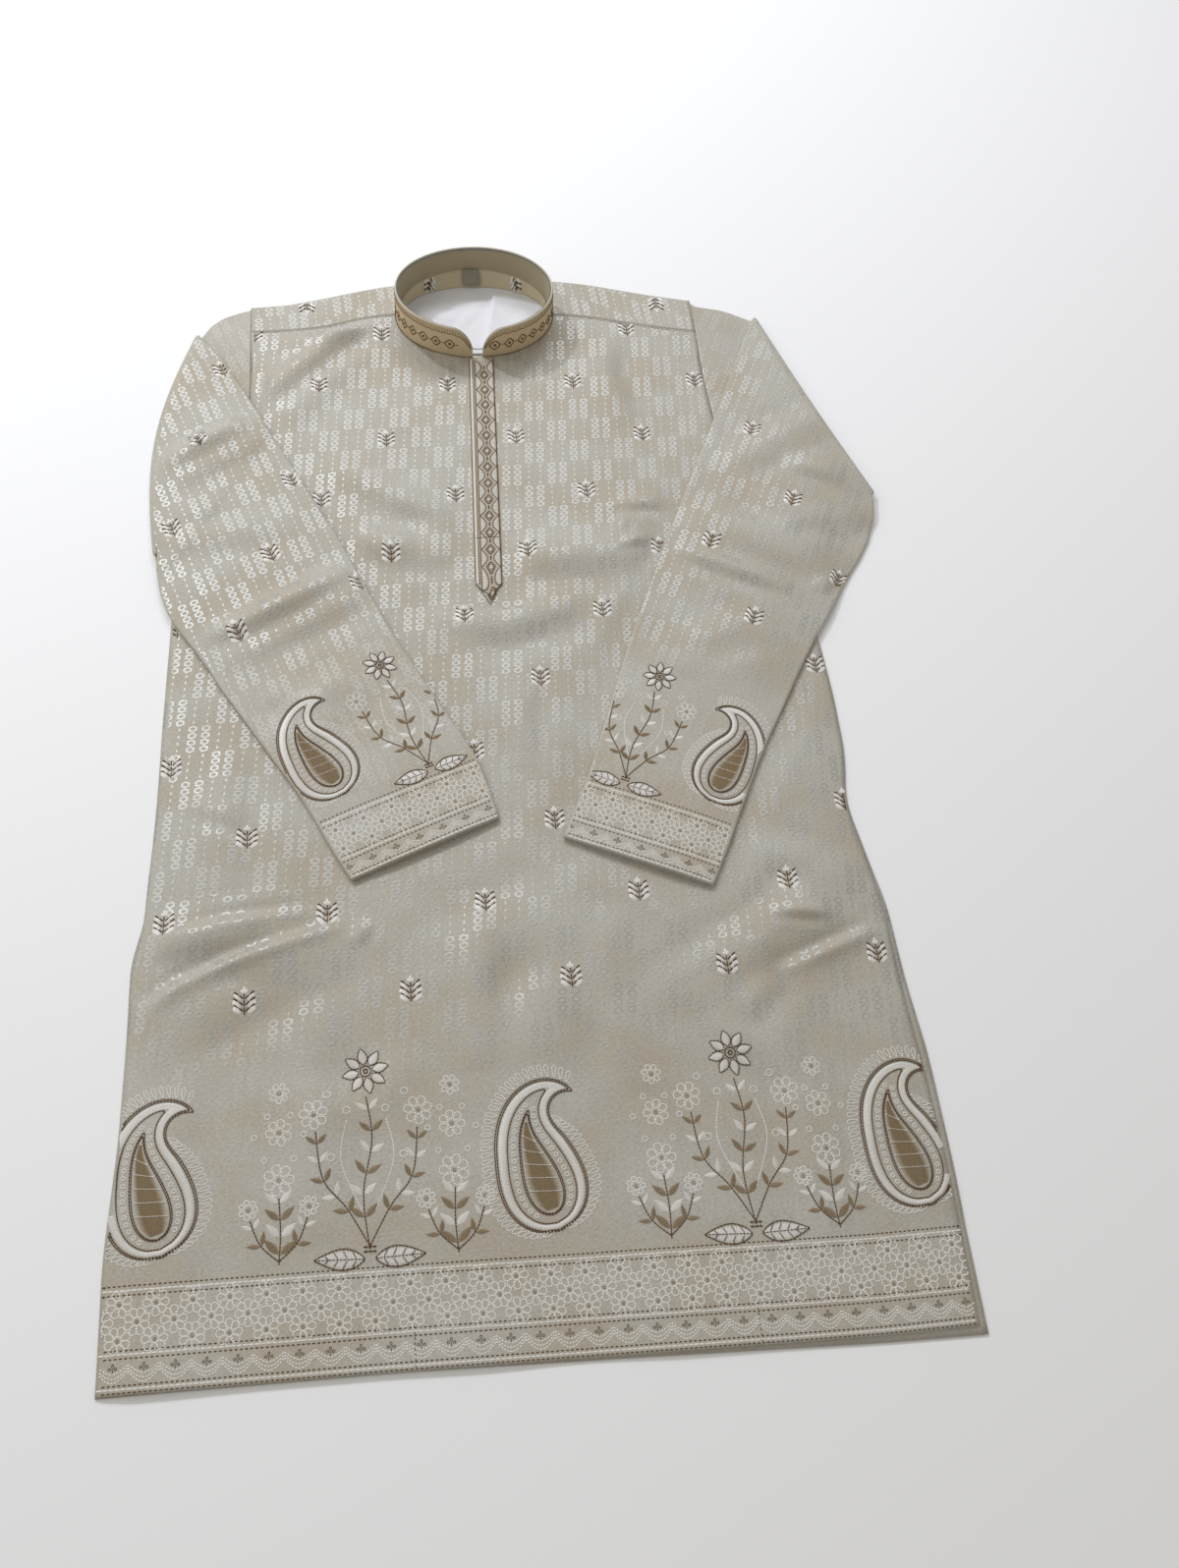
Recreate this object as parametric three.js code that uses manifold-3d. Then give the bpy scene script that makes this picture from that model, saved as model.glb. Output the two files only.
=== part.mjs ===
// A man's kurta laid flat on its back, sleeves turned over onto the front, collar band standing.
// Millimetres. +Y runs from the hem to the collar, +Z is up, X = 0 is the centre front line.
// Y = 0 is the chest line where the pattern repeat starts. The finished group is moved so that the
// middle of the underside is the origin.

import * as THREE from "three";
import { mergeVertices } from "three/addons/utils/BufferGeometryUtils.js";
import Module from "manifold-3d";

const wasm = await Module();
wasm.setup();

// ---------------------------------------------------------------- driving dimensions
const CLOTH = 1.2; // jacquard with its backing
const GAP = 0.3; // between pieces at a seam
const HALF = CLOTH / 2;
const PLY_GAP = 1.6; // air between the two plies of a flattened sleeve
const BACK_MID = HALF; // height of the middle of the back panel
const FRONT_MID = CLOTH + GAP + HALF; // height of the middle of the front panel at its lowest
const SHOULDER_ROLL = 2.2; // radius of the roll along the top of the shoulders
const FRONT_LOFT = 0.9; // how much the front lifts away from its edges and the sleeves
const SHOULDER_RISE = 45; // length over which the front climbs to the shoulder seam

const NECK = { x: 1.5, y: 93, halfWidth: 81.5, halfDepth: 57.5 }; // outline of the collar at its base
const COLLAR = { height: 42, lean: -4.7, topHalfWidth: 80, topHalfDepth: 58.3, foot: 1.65 };
const COLLAR_FRONT = { gapLeft: -6, gapRight: 8, corner: 20, frontHeight: 9 };
const FACING_WALL = 1.0;

const PLACKET = { topX: 4.2, topY: 33.5, bottomX: -7.2, bottomY: -243, width: 26, point: 13 };
const SLIT = { width: 2, bottomY: -225 }; // the cut in the front under the placket

const NECK_FACING = { depth: 24, sideTaper: 0.86 };
const TAB = { x: 0.5, width: 17, length: 20, thickness: 1.0 };

// Outline of the body, from hem to shoulder: y, left edge, right edge.
// The armhole curve starts at y = -178.
const bodyOutline = [
  { y: -915, left: -318, right: 304 },
  { y: -875, left: -317.5, right: 305 },
  { y: -797, left: -318, right: 306.5 },
  { y: -718, left: -312, right: 305 },
  { y: -646, left: -310, right: 301 },
  { y: -577, left: -310, right: 301 },
  { y: -555, left: -302, right: 297 },
  { y: -510, left: -300, right: 291 },
  { y: -484, left: -298, right: 287.5 },
  { y: -437, left: -296, right: 296 },
  { y: -377, left: -295, right: 297 },
  { y: -282, left: -292, right: 293 },
  { y: -178, left: -290, right: 291 },
  { y: -150, left: -272, right: 274 },
  { y: -110, left: -247, right: 250 },
  { y: -60, left: -230, right: 235 },
  { y: 0, left: -226, right: 232 },
  { y: 140, left: -226, right: 232 },
];

// How far the back panel stands out beyond the front along the sides: y, left, right.
const backPeek = [
  { y: -915, left: 0, right: 5 },
  { y: -840, left: 0, right: 4 },
  { y: -700, left: 0, right: 6 },
  { y: -560, left: 0, right: 2 },
  { y: -480, left: 0, right: 0 },
];

// Hem line across the garment: x, front hem, back hem.
const hemLine = [
  { x: -318, front: -883, back: -884 },
  { x: -115, front: -889.5, back: -890 },
  { x: 45, front: -896, back: -898 },
  { x: 230, front: -903.5, back: -908 },
  { x: 309, front: -904.5, back: -911 },
];

// Top of the shoulders: x, the fold line of the back panel, the shoulder seam on the front.
const shoulderLine = [
  { x: -228, fold: 106, seam: 72 },
  { x: -190, fold: 109, seam: 73 },
  { x: -152, fold: 118, seam: 77 },
  { x: -115, fold: 128, seam: 88 },
  { x: -83, fold: 135, seam: 93 },
  { x: 86, fold: 139, seam: 90 },
  { x: 120, fold: 134, seam: 85 },
  { x: 188, fold: 117, seam: 70 },
  { x: 236, fold: 107, seam: 62 },
];

// Columns of cloth across the panels, by their distance from the middle at the shoulder: round the
// neck at even angles, then out along the shoulder.
const NECK_CLEARANCE = 0.8;
const NECK_COLUMNS = 8;
const shoulderColumns = [97, 114, 136, 162, 192];

// Creases of the front: start, end, width across, height (troughs are negative).
const frontCreases = [
  { x0: -205, y0: 60, x1: -95, y1: 84, across: 26, height: 2.6 },
  { x0: -215, y0: -60, x1: -120, y1: 62, across: 34, height: 3.2 },
  { x0: -150, y0: -205, x1: 40, y1: -190, across: 34, height: 3.0 },
  { x0: 60, y0: -225, x1: 190, y1: -150, across: 38, height: 3.6 },
  { x0: -95, y0: -300, x1: 70, y1: -268, across: 34, height: 2.4 },
  { x0: -300, y0: -560, x1: -160, y1: -590, across: 30, height: 2.6 },
  { x0: -290, y0: -640, x1: -150, y1: -575, across: 34, height: 3.8 },
  { x0: -60, y0: -600, x1: 30, y1: -560, across: 40, height: 3.4 },
  { x0: 110, y0: -640, x1: 270, y1: -560, across: 30, height: 4.2 },
  { x0: 200, y0: -520, x1: 290, y1: -560, across: 26, height: 3.0 },
  { x0: -20, y0: -700, x1: 60, y1: -560, across: 44, height: 2.4 },
];

// Sleeves, a row for each section from the armhole to the cuff: the overarm fold, the underarm fold,
// how far the section bows (outward is positive), and the turn about the elbow-side fold in degrees.
const sleeveRight = {
  name: "sleeve_right",
  side: -1,
  sections: [
    { overX: -227.5, overY: 105, underX: -291, underY: -178, bow: 0, turn: 0, atArmhole: true },
    { overX: -256, overY: 100, underX: -301, underY: -190, bow: -4, turn: 0 },
    { overX: -276, overY: 68, underX: -306, underY: -198, bow: 19, turn: 0 },
    { overX: -276, overY: 68, underX: -306, underY: -198, bow: 19, turn: 60 },
    { overX: -276, overY: 68, underX: -306, underY: -198, bow: 19, turn: 120 },
    { overX: -274, overY: 64, underX: -306, underY: -200, bow: 19, turn: 180 },
    { overX: -254, overY: 37, underX: -306, underY: -215, bow: 16, turn: 180 },
    { overX: -226, overY: -17, underX: -302, underY: -240, bow: 12, turn: 180 },
    { overX: -196, overY: -78, underX: -294, underY: -264, bow: 8, turn: 180 },
    { overX: -166, overY: -140, underX: -279, underY: -288, bow: 4, turn: 180 },
    { overX: -145, overY: -182, underX: -263, underY: -312, bow: 2, turn: 180 },
    { overX: -122, overY: -236, underX: -244, underY: -346, bow: 0, turn: 180 },
    { overX: -97, overY: -293, underX: -222, underY: -381, bow: 0, turn: 180 },
    { overX: -77, overY: -332, underX: -203, underY: -412, bow: 0, turn: 180 },
    { overX: -57, overY: -371, underX: -183, underY: -443, bow: 0, turn: 180 },
    { overX: -42, overY: -398, underX: -173, underY: -461, bow: 0, turn: 180 },
    { overX: -29, overY: -424, underX: -164, underY: -479, bow: 0, turn: 180 },
    { overX: -21, overY: -452, underX: -152, underY: -503, bow: 0, turn: 180 },
    { overX: -15, overY: -480, underX: -139, underY: -527, bow: 0, turn: 180 },
  ],
  creases: [
    { x0: -305, y0: -115, x1: -215, y1: -52, across: 30, height: 4.2 },
    { x0: -240, y0: -300, x1: -110, y1: -228, across: 34, height: 4.6 },
    { x0: -300, y0: -190, x1: -190, y1: -165, across: 26, height: 2.4 },
    { x0: -190, y0: -400, x1: -120, y1: -330, across: 30, height: 2.0 },
  ],
};

const sleeveLeft = {
  name: "sleeve_left",
  side: 1,
  sections: [
    { overX: 236.5, overY: 104, underX: 292, underY: -178, bow: 0, turn: 0, atArmhole: true },
    { overX: 266, overY: 96, underX: 336, underY: -172, bow: -8, turn: 0 },
    { overX: 297, overY: 80, underX: 379, underY: -157, bow: 2, turn: 0 },
    { overX: 297, overY: 80, underX: 379, underY: -157, bow: 2, turn: 60 },
    { overX: 297, overY: 80, underX: 379, underY: -157, bow: 2, turn: 120 },
    { overX: 295, overY: 77, underX: 379, underY: -160, bow: 2, turn: 180 },
    { overX: 268, overY: 20, underX: 376, underY: -185, bow: 6, turn: 180 },
    { overX: 246, overY: -30, underX: 366, underY: -209, bow: 6, turn: 180 },
    { overX: 223, overY: -79, underX: 353, underY: -230, bow: 5, turn: 180 },
    { overX: 195, overY: -138, underX: 337, underY: -251, bow: 3, turn: 180 },
    { overX: 167, overY: -197, underX: 313, underY: -288, bow: 1, turn: 180 },
    { overX: 141, overY: -256, underX: 290, underY: -320, bow: 0, turn: 180 },
    { overX: 115, overY: -315, underX: 264, underY: -362, bow: 0, turn: 180 },
    { overX: 100, overY: -354, underX: 243, underY: -397, bow: 0, turn: 180 },
    { overX: 85, overY: -392, underX: 222, underY: -431, bow: 0, turn: 180 },
    { overX: 75, overY: -418, underX: 207, underY: -460, bow: 0, turn: 180 },
    { overX: 65, overY: -443, underX: 192, underY: -489, bow: 0, turn: 180 },
    { overX: 51, overY: -472, underX: 176, underY: -521, bow: 0, turn: 180 },
    { overX: 37, overY: -501.5, underX: 158, underY: -554, bow: 0, turn: 180 },
  ],
  creases: [
    { x0: 240, y0: -110, x1: 350, y1: -60, across: 30, height: 3.4 },
    { x0: 190, y0: -175, x1: 330, y1: -240, across: 34, height: 4.8 },
    { x0: 300, y0: -90, x1: 374, y1: -150, across: 30, height: 2.6 },
    { x0: 150, y0: -330, x1: 240, y1: -300, across: 30, height: 2.2 },
  ],
};

// Places across a flattened sleeve: distance from the nearer fold in mm, then shares of the width.
const SLEEVE_EDGE = 2.4;
const sleeveShares = [0.09, 0.21, 0.35, 0.5, 0.65, 0.79, 0.91];
const SLEEVE_PILLOW = 1.4;
const ARMHOLE_GAP = 0.9;
const SUPPORT = { overBody: 3.35, overSleeve: 4.75, margin: 12, fall: 30 };

// ---------------------------------------------------------------- small helpers
const clamp01 = (t) => Math.min(1, Math.max(0, t));
const ease = (t) => clamp01(t) ** 2 * (3 - 2 * clamp01(t));
const mix = (a, b, t) => a + (b - a) * t;

// Value of one column of a table at a key, straight between rows.
function lookUp(table, key, at, column) {
  const last = table.length - 1;
  if (at <= table[0][key]) return table[0][column];
  if (at >= table[last][key]) return table[last][column];
  const i = table.findIndex((row) => row[key] >= at);
  const t = (at - table[i - 1][key]) / (table[i][key] - table[i - 1][key]);
  return mix(table[i - 1][column], table[i][column], t);
}

// Distance from a point to a straight piece, and how far along it the nearest point lies.
function nearSegment(x, y, x0, y0, x1, y1) {
  const length2 = (x1 - x0) ** 2 + (y1 - y0) ** 2;
  const along = clamp01(((x - x0) * (x1 - x0) + (y - y0) * (y1 - y0)) / length2);
  const distance = Math.hypot(x - mix(x0, x1, along), y - mix(y0, y1, along));
  return { distance, along };
}

// Signed distance to a closed outline, negative inside.
function outsideBy(outline, x, y) {
  let distance = Infinity;
  let inside = false;
  outline.forEach(([x1, y1], i) => {
    const [x0, y0] = outline[(i + outline.length - 1) % outline.length];
    distance = Math.min(distance, nearSegment(x, y, x0, y0, x1, y1).distance);
    if (y0 > y !== y1 > y && x < x0 + ((y - y0) * (x1 - x0)) / (y1 - y0)) inside = !inside;
  });
  return inside ? -distance : distance;
}

// Sum of soft ridges, each highest in the middle of its line and fading to its ends and sides.
function creaseHeight(creases, x, y) {
  return creases.reduce((sum, c) => {
    const { distance, along } = nearSegment(x, y, c.x0, c.y0, c.x1, c.y1);
    const side = ease(1 - distance / c.across);
    return sum + c.height * side * (0.25 + 0.75 * Math.sin(Math.PI * along));
  }, 0);
}

// A closed geometry from triangles; turned the right way round if its faces point inwards.
function closedGeometry(points, triangles) {
  let volume = 0;
  for (const [a, b, c] of triangles) {
    volume += points[a].dot(new THREE.Vector3().crossVectors(points[b], points[c]));
  }
  const index = volume > 0 ? triangles.flat() : triangles.map(([a, b, c]) => [a, c, b]).flat();
  const geometry = new THREE.BufferGeometry();
  geometry.setAttribute("position", new THREE.Float32BufferAttribute(points.flatMap((p) => p.toArray()), 3));
  geometry.setIndex(index);
  return mergeVertices(geometry, 1e-3);
}

const quad = (a, b, c, d) => [
  [a, b, c],
  [a, c, d],
];

// A sheet of cloth: an upper and a lower grid of points with the rim joined all round.
function sheetGeometry(upper, lower) {
  const rows = upper.length;
  const cols = upper[0].length;
  const points = [...upper.flat(), ...lower.flat()];
  const top = (i, j) => i * cols + j;
  const under = (i, j) => rows * cols + top(i, j);
  const triangles = [];
  for (let i = 0; i + 1 < rows; i++) {
    for (let j = 0; j + 1 < cols; j++) {
      triangles.push(...quad(top(i, j), top(i, j + 1), top(i + 1, j + 1), top(i + 1, j)));
      triangles.push(...quad(under(i, j), under(i + 1, j), under(i + 1, j + 1), under(i, j + 1)));
    }
    triangles.push(...quad(top(i, 0), top(i + 1, 0), under(i + 1, 0), under(i, 0)));
    triangles.push(...quad(top(i, cols - 1), under(i, cols - 1), under(i + 1, cols - 1), top(i + 1, cols - 1)));
  }
  for (let j = 0; j + 1 < cols; j++) {
    triangles.push(...quad(top(0, j), under(0, j), under(0, j + 1), top(0, j + 1)));
    triangles.push(...quad(top(rows - 1, j), top(rows - 1, j + 1), under(rows - 1, j + 1), under(rows - 1, j)));
  }
  return closedGeometry(points, triangles);
}

// An open tube of cloth: outer and inner loops of points, joined by a narrow edge at both ends.
function tubeGeometry(outer, inner) {
  const rings = outer.length;
  const around = outer[0].length;
  const points = [...outer.flat(), ...inner.flat()];
  const out = (i, k) => i * around + (k % around);
  const into = (i, k) => rings * around + out(i, k);
  const triangles = [];
  for (let k = 0; k < around; k++) {
    for (let i = 0; i + 1 < rings; i++) {
      triangles.push(...quad(out(i, k), out(i, k + 1), out(i + 1, k + 1), out(i + 1, k)));
      triangles.push(...quad(into(i, k), into(i + 1, k), into(i + 1, k + 1), into(i, k + 1)));
    }
    triangles.push(...quad(out(0, k), into(0, k), into(0, k + 1), out(0, k + 1)));
    triangles.push(...quad(out(rings - 1, k), out(rings - 1, k + 1), into(rings - 1, k + 1), into(rings - 1, k)));
  }
  return closedGeometry(points, triangles);
}

function toManifold(geometry) {
  const vertProperties = new Float32Array(geometry.attributes.position.array);
  const triVerts = new Uint32Array(geometry.index.array);
  return new wasm.Manifold(new wasm.Mesh({ numProp: 3, vertProperties, triVerts }));
}

function fromManifold(solid) {
  const mesh = solid.getMesh();
  const geometry = new THREE.BufferGeometry();
  geometry.setAttribute("position", new THREE.BufferAttribute(new Float32Array(mesh.vertProperties), 3));
  geometry.setIndex(new THREE.BufferAttribute(new Uint32Array(mesh.triVerts), 1));
  return geometry;
}

// ---------------------------------------------------------------- heights that pieces share
// Footprint of the turned-over part of a sleeve, and of the part that lies under it.
function sleeveFootprint(sleeve) {
  const over = sleeve.sections.filter((s) => s.turn === 180);
  return [...over.map((s) => [s.overX, s.overY]), ...over.map((s) => [s.underX, s.underY]).reverse()];
}

function sleeveHeadFootprint(sleeve) {
  const first = sleeve.sections[0];
  const turn = sleeve.sections[2];
  return [
    [first.overX, first.overY],
    [turn.overX, turn.overY],
    [turn.underX, turn.underY],
    [first.underX, first.underY],
    [first.overX, -60],
  ];
}

const bodyFootprint = [
  ...bodyOutline.map((row) => [row.left, row.y]),
  ...bodyOutline.map((row) => [row.right, row.y]).reverse(),
];
const sleeveFootprints = [sleeveRight, sleeveLeft].map(sleeveFootprint);

// Height of what a turned-over sleeve lies on: the body, or its own first part.
function supportHeight(sleeve, x, y) {
  const plateau = (outline, height) =>
    height * (1 - ease((outsideBy(outline, x, y) - SUPPORT.margin) / SUPPORT.fall));
  const head = plateau(sleeveHeadFootprint(sleeve), SUPPORT.overSleeve);
  return Math.max(head, plateau(bodyFootprint, SUPPORT.overBody));
}

// Middle of the front panel: low at its edges and under the sleeves, lifted in the open, climbing to
// the shoulder seams, with the creases on top.
function frontHeight(x, y) {
  const clearOfSleeves = sleeveFootprints.reduce(
    (least, outline) => Math.min(least, ease((outsideBy(outline, x, y) - 7) / 22)),
    1,
  );
  const left = lookUp(bodyOutline, "y", y, "left");
  const right = lookUp(bodyOutline, "y", y, "right");
  const clearOfEdges = ease(Math.min(x - left, right - x) / 24);
  const seam = lookUp(shoulderLine, "x", x, "seam");
  const climb = ease((y - seam + SHOULDER_RISE) / SHOULDER_RISE);
  const placketX = mix(PLACKET.bottomX, PLACKET.topX, (y - PLACKET.bottomY) / (PLACKET.topY - PLACKET.bottomY));
  const besidePlacket = y > PLACKET.bottomY - 30 ? ease((Math.abs(x - placketX) - 18) / 30) : 1;
  const besideNeck = ease((Math.hypot((x - NECK.x) / NECK.halfWidth, (y - NECK.y) / NECK.halfDepth) - 1.02) * 3);
  const loft = FRONT_LOFT * clearOfSleeves * clearOfEdges;
  const creases = creaseHeight(frontCreases, x, y) * clearOfSleeves * clearOfEdges * besidePlacket * besideNeck;
  const shoulder = (2 * SHOULDER_ROLL - (FRONT_MID - BACK_MID) - loft) * climb;
  return FRONT_MID + loft + creases + shoulder;
}

// Outline of the neck at a share of its size: y at the back (+1) or the front (-1) for an x.
function neckY(x, end, clearance) {
  const across = clamp01(Math.abs(x - NECK.x) / (NECK.halfWidth + clearance));
  return NECK.y + end * (NECK.halfDepth + clearance) * Math.sqrt(1 - across ** 2);
}

const inNeck = (x) => Math.abs(x - NECK.x) < NECK.halfWidth + NECK_CLEARANCE - 0.01;

const columns = (() => {
  const right = lookUp(bodyOutline, "y", 90, "right");
  const left = lookUp(bodyOutline, "y", 90, "left");
  const neck = Array.from({ length: NECK_COLUMNS + 1 }, (_, k) =>
    (NECK.halfWidth + NECK_CLEARANCE) * Math.sin((Math.PI / 2) * (k / NECK_COLUMNS)));
  const half = [...neck, ...shoulderColumns];
  const places = [left, ...half.slice(1).reverse().map((x) => NECK.x - x), ...half.map((x) => NECK.x + x), right];
  return places.map((x) => (2 * (x - left)) / (right - left) - 1);
})();

// A column's x at a height y on the body.
function columnX(share, y) {
  const left = lookUp(bodyOutline, "y", y, "left");
  const right = lookUp(bodyOutline, "y", y, "right");
  return mix(left, right, (share + 1) / 2);
}

// ---------------------------------------------------------------- the panels
const FRONT_ROWS = 30;

function frontPanel() {
  const upper = [];
  const lower = [];
  for (let i = 0; i <= FRONT_ROWS; i++) {
    const climb = (i / FRONT_ROWS) ** 0.94;
    const row = columns.map((share) => {
      const topX = columnX(share, 72);
      const shoulder = lookUp(shoulderLine, "x", topX, "seam") - GAP;
      const topY = inNeck(topX) ? Math.min(neckY(topX, -1, NECK_CLEARANCE), shoulder) : shoulder;
      const nominal = mix(-890, topY, climb);
      const hem = lookUp(hemLine, "x", columnX(share, nominal), "front");
      const y = mix(hem, topY, climb);
      const x = columnX(share, y);
      return new THREE.Vector3(x, y, frontHeight(x, y));
    });
    upper.push(row.map((p) => new THREE.Vector3(p.x, p.y, p.z + HALF)));
    lower.push(row.map((p) => new THREE.Vector3(p.x, p.y, p.z - HALF)));
  }
  const cloth = toManifold(sheetGeometry(upper, lower));
  const cutLength = PLACKET.topY + 20 - SLIT.bottomY;
  const cut = new THREE.BoxGeometry(SLIT.width, cutLength, 20);
  cut.deleteAttribute("normal");
  cut.deleteAttribute("uv");
  const slant = Math.atan2(PLACKET.topX - PLACKET.bottomX, PLACKET.topY - PLACKET.bottomY);
  cut.rotateZ(-slant);
  const middleY = SLIT.bottomY + cutLength / 2;
  const middleX = mix(PLACKET.bottomX, PLACKET.topX, (middleY - PLACKET.bottomY) / (PLACKET.topY - PLACKET.bottomY));
  cut.translate(middleX, middleY, FRONT_MID);
  return fromManifold(cloth.subtract(toManifold(mergeVertices(cut, 1e-3))));
}

// The back lies flat, rolls over along the top of the shoulders and comes forward to the seams.
// Between the shoulders it ends at the neck: flat in the middle, turning up towards the roll.
function backPanel() {
  const levels = [-840, -770, -700, -640, -577, -555, -484, -400, -300, -178, -150, -110, -60, 0];
  const rollRows = 5;
  const forwardRows = 3;
  const flatMiddle = 34;
  const fullRoll = 57;
  const least = 0.6;
  const grid = columns.map((share) => {
    const topX = columnX(share, 100);
    const fromMiddle = Math.abs(topX - NECK.x);
    const turn = Math.PI * mix(0.03, 1, ease((fromMiddle - flatMiddle) / (fullRoll - flatMiddle)));
    const shoulderFold = lookUp(shoulderLine, "x", topX, "fold");
    const neckFold = neckY(topX, 1, 2.2);
    const foldY = inNeck(topX) ? Math.max(shoulderFold, neckFold) : shoulderFold;
    const rollStart = foldY - SHOULDER_ROLL;
    const seam = lookUp(shoulderLine, "x", topX, "seam");
    const edge = inNeck(topX) ? Math.max(neckY(topX, 1, NECK_CLEARANCE), seam) : seam;
    const forward = fromMiddle >= fullRoll ? Math.max(least, rollStart - edge) : least;
    const path = [];
    const hem = lookUp(hemLine, "x", columnX(share, levels[0]), "back");
    for (const y of [hem, ...levels, rollStart]) {
      const peek = Math.abs(share) > 0.99 ? lookUp(backPeek, "y", y, share > 0 ? "right" : "left") : 0;
      path.push({ x: columnX(share, y) + peek * Math.sign(share), y, z: BACK_MID, tilt: 0 });
    }
    for (let i = 1; i <= rollRows; i++) {
      const tilt = (turn * i) / rollRows;
      const y = rollStart + SHOULDER_ROLL * Math.sin(tilt);
      path.push({ x: topX, y, z: BACK_MID + SHOULDER_ROLL * (1 - Math.cos(tilt)), tilt });
    }
    const end = path[path.length - 1];
    for (let i = 1; i <= forwardRows; i++) {
      const run = (forward * i) / forwardRows;
      const y = end.y + run * Math.cos(turn);
      path.push({ x: topX, y, z: end.z + run * Math.sin(turn), tilt: turn });
    }
    return path;
  });
  // The side of the cloth that faces up while it lies flat is inside the garment.
  const offset = (p, by) =>
    new THREE.Vector3(p.x, p.y - by * Math.sin(p.tilt), p.z + by * Math.cos(p.tilt));
  const inside = grid.map((path) => path.map((p) => offset(p, HALF)));
  const outside = grid.map((path) => path.map((p) => offset(p, -HALF)));
  return sheetGeometry(inside, outside);
}

// ---------------------------------------------------------------- the sleeves
// One loop of a flattened sleeve: along one ply from the overarm fold to the underarm fold and back
// along the other. `half` is half the height of the loop and `inset` the distance from the folds.
function sleeveLoop(sleeve, section, half, inset) {
  const dx = section.underX - section.overX;
  const dy = section.underY - section.overY;
  const width = Math.hypot(dx, dy);
  const outward = new THREE.Vector2(dy, -dx).multiplyScalar(1 / width);
  if (outward.x * sleeve.side < 0) outward.negate();
  const tilt = THREE.MathUtils.degToRad(section.turn);
  const radius = SUPPORT.overSleeve / 2;
  const point = (share, ply) => {
    const bow = section.bow * Math.sin(Math.PI * share);
    const swing = section.turn === 0 || section.turn === 180 ? 0 : radius * Math.sin(tilt);
    const x = mix(section.overX, section.underX, share) + outward.x * (bow + swing);
    const y = mix(section.overY, section.underY, share) + outward.y * (bow + swing);
    const halfStack = PLY_GAP / 2 + CLOTH;
    let z = halfStack + radius * (1 - Math.cos(tilt));
    if (section.atArmhole) {
      const edge = lookUp(bodyOutline, "y", y, sleeve.side > 0 ? "right" : "left");
      return new THREE.Vector3(edge + sleeve.side * (ARMHOLE_GAP + inset / 4), y, z - ply * half);
    }
    if (section.turn === 180) {
      z = supportHeight(sleeve, x, y) + halfStack;
    }
    const lift = ply > 0 && section.turn === 180
      ? creaseHeight(sleeve.creases, x, y) * ease(Math.min(share, 1 - share) * 8)
        + SLEEVE_PILLOW * Math.sin(Math.PI * share)
      : 0;
    const away = ply * half;
    return new THREE.Vector3(
      x + outward.x * away * Math.sin(tilt),
      y + outward.y * away * Math.sin(tilt),
      z - away * Math.cos(tilt) + lift,
    );
  };
  const tip = inset / width;
  const shares = [(inset + SLEEVE_EDGE) / width, ...sleeveShares, 1 - (inset + SLEEVE_EDGE) / width];
  const upperPly = shares.map((share) => point(share, 1));
  const lowerPly = shares.map((share) => point(share, -1)).reverse();
  return [point(tip, 0), ...upperPly, point(1 - tip, 0), ...lowerPly];
}

function sleeveGeometry(sleeve) {
  const outer = sleeve.sections.map((s) => sleeveLoop(sleeve, s, PLY_GAP / 2 + CLOTH, 0));
  const inner = sleeve.sections.map((s) => sleeveLoop(sleeve, s, PLY_GAP / 2, CLOTH * 1.5));
  return tubeGeometry(outer, inner);
}

// ---------------------------------------------------------------- the collar and neck
const COLLAR_STEPS = 56;
const collarRise = [0, 0.3, 0.65, 1];

// The band's wall between two distances in from its outer face, round from one front end to the other.
function collarWall(outerInset, innerInset, shorter) {
  const startLeft = Math.asin((COLLAR_FRONT.gapLeft - NECK.x) / NECK.halfWidth);
  const startRight = Math.asin((COLLAR_FRONT.gapRight - NECK.x) / NECK.halfWidth);
  const sweep = 2 * Math.PI - (startRight - startLeft);
  const cornerSteps = 8;
  const steps = [];
  const cornerTurn = (COLLAR_FRONT.corner + 4) / NECK.halfWidth;
  for (let i = 0; i < cornerSteps; i++) steps.push((cornerTurn * i) / cornerSteps);
  for (let i = 0; i <= COLLAR_STEPS; i++) steps.push(mix(cornerTurn, sweep - cornerTurn, i / COLLAR_STEPS));
  for (let i = cornerSteps - 1; i >= 0; i--) steps.push(sweep - (cornerTurn * i) / cornerSteps);
  const faces = [outerInset, innerInset].map((inset) =>
    steps.map((along) => {
      const angle = startRight + along;
      const fromEnd = Math.min(along, sweep - along) * NECK.halfWidth;
      const corner = Math.sqrt(1 - (1 - clamp01(fromEnd / COLLAR_FRONT.corner)) ** 2);
      const height = mix(COLLAR_FRONT.frontHeight, COLLAR.height - shorter, corner);
      return collarRise.map((rise) => {
        const up = (height * rise) / COLLAR.height;
        const a = mix(NECK.halfWidth, COLLAR.topHalfWidth, up) - inset;
        const b = mix(NECK.halfDepth, COLLAR.topHalfDepth, up) - inset;
        return new THREE.Vector3(
          NECK.x + a * Math.sin(angle),
          NECK.y + COLLAR.lean * up - b * Math.cos(angle),
          COLLAR.foot + height * rise,
        );
      });
    }),
  );
  return sheetGeometry(faces[0], faces[1]);
}

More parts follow.
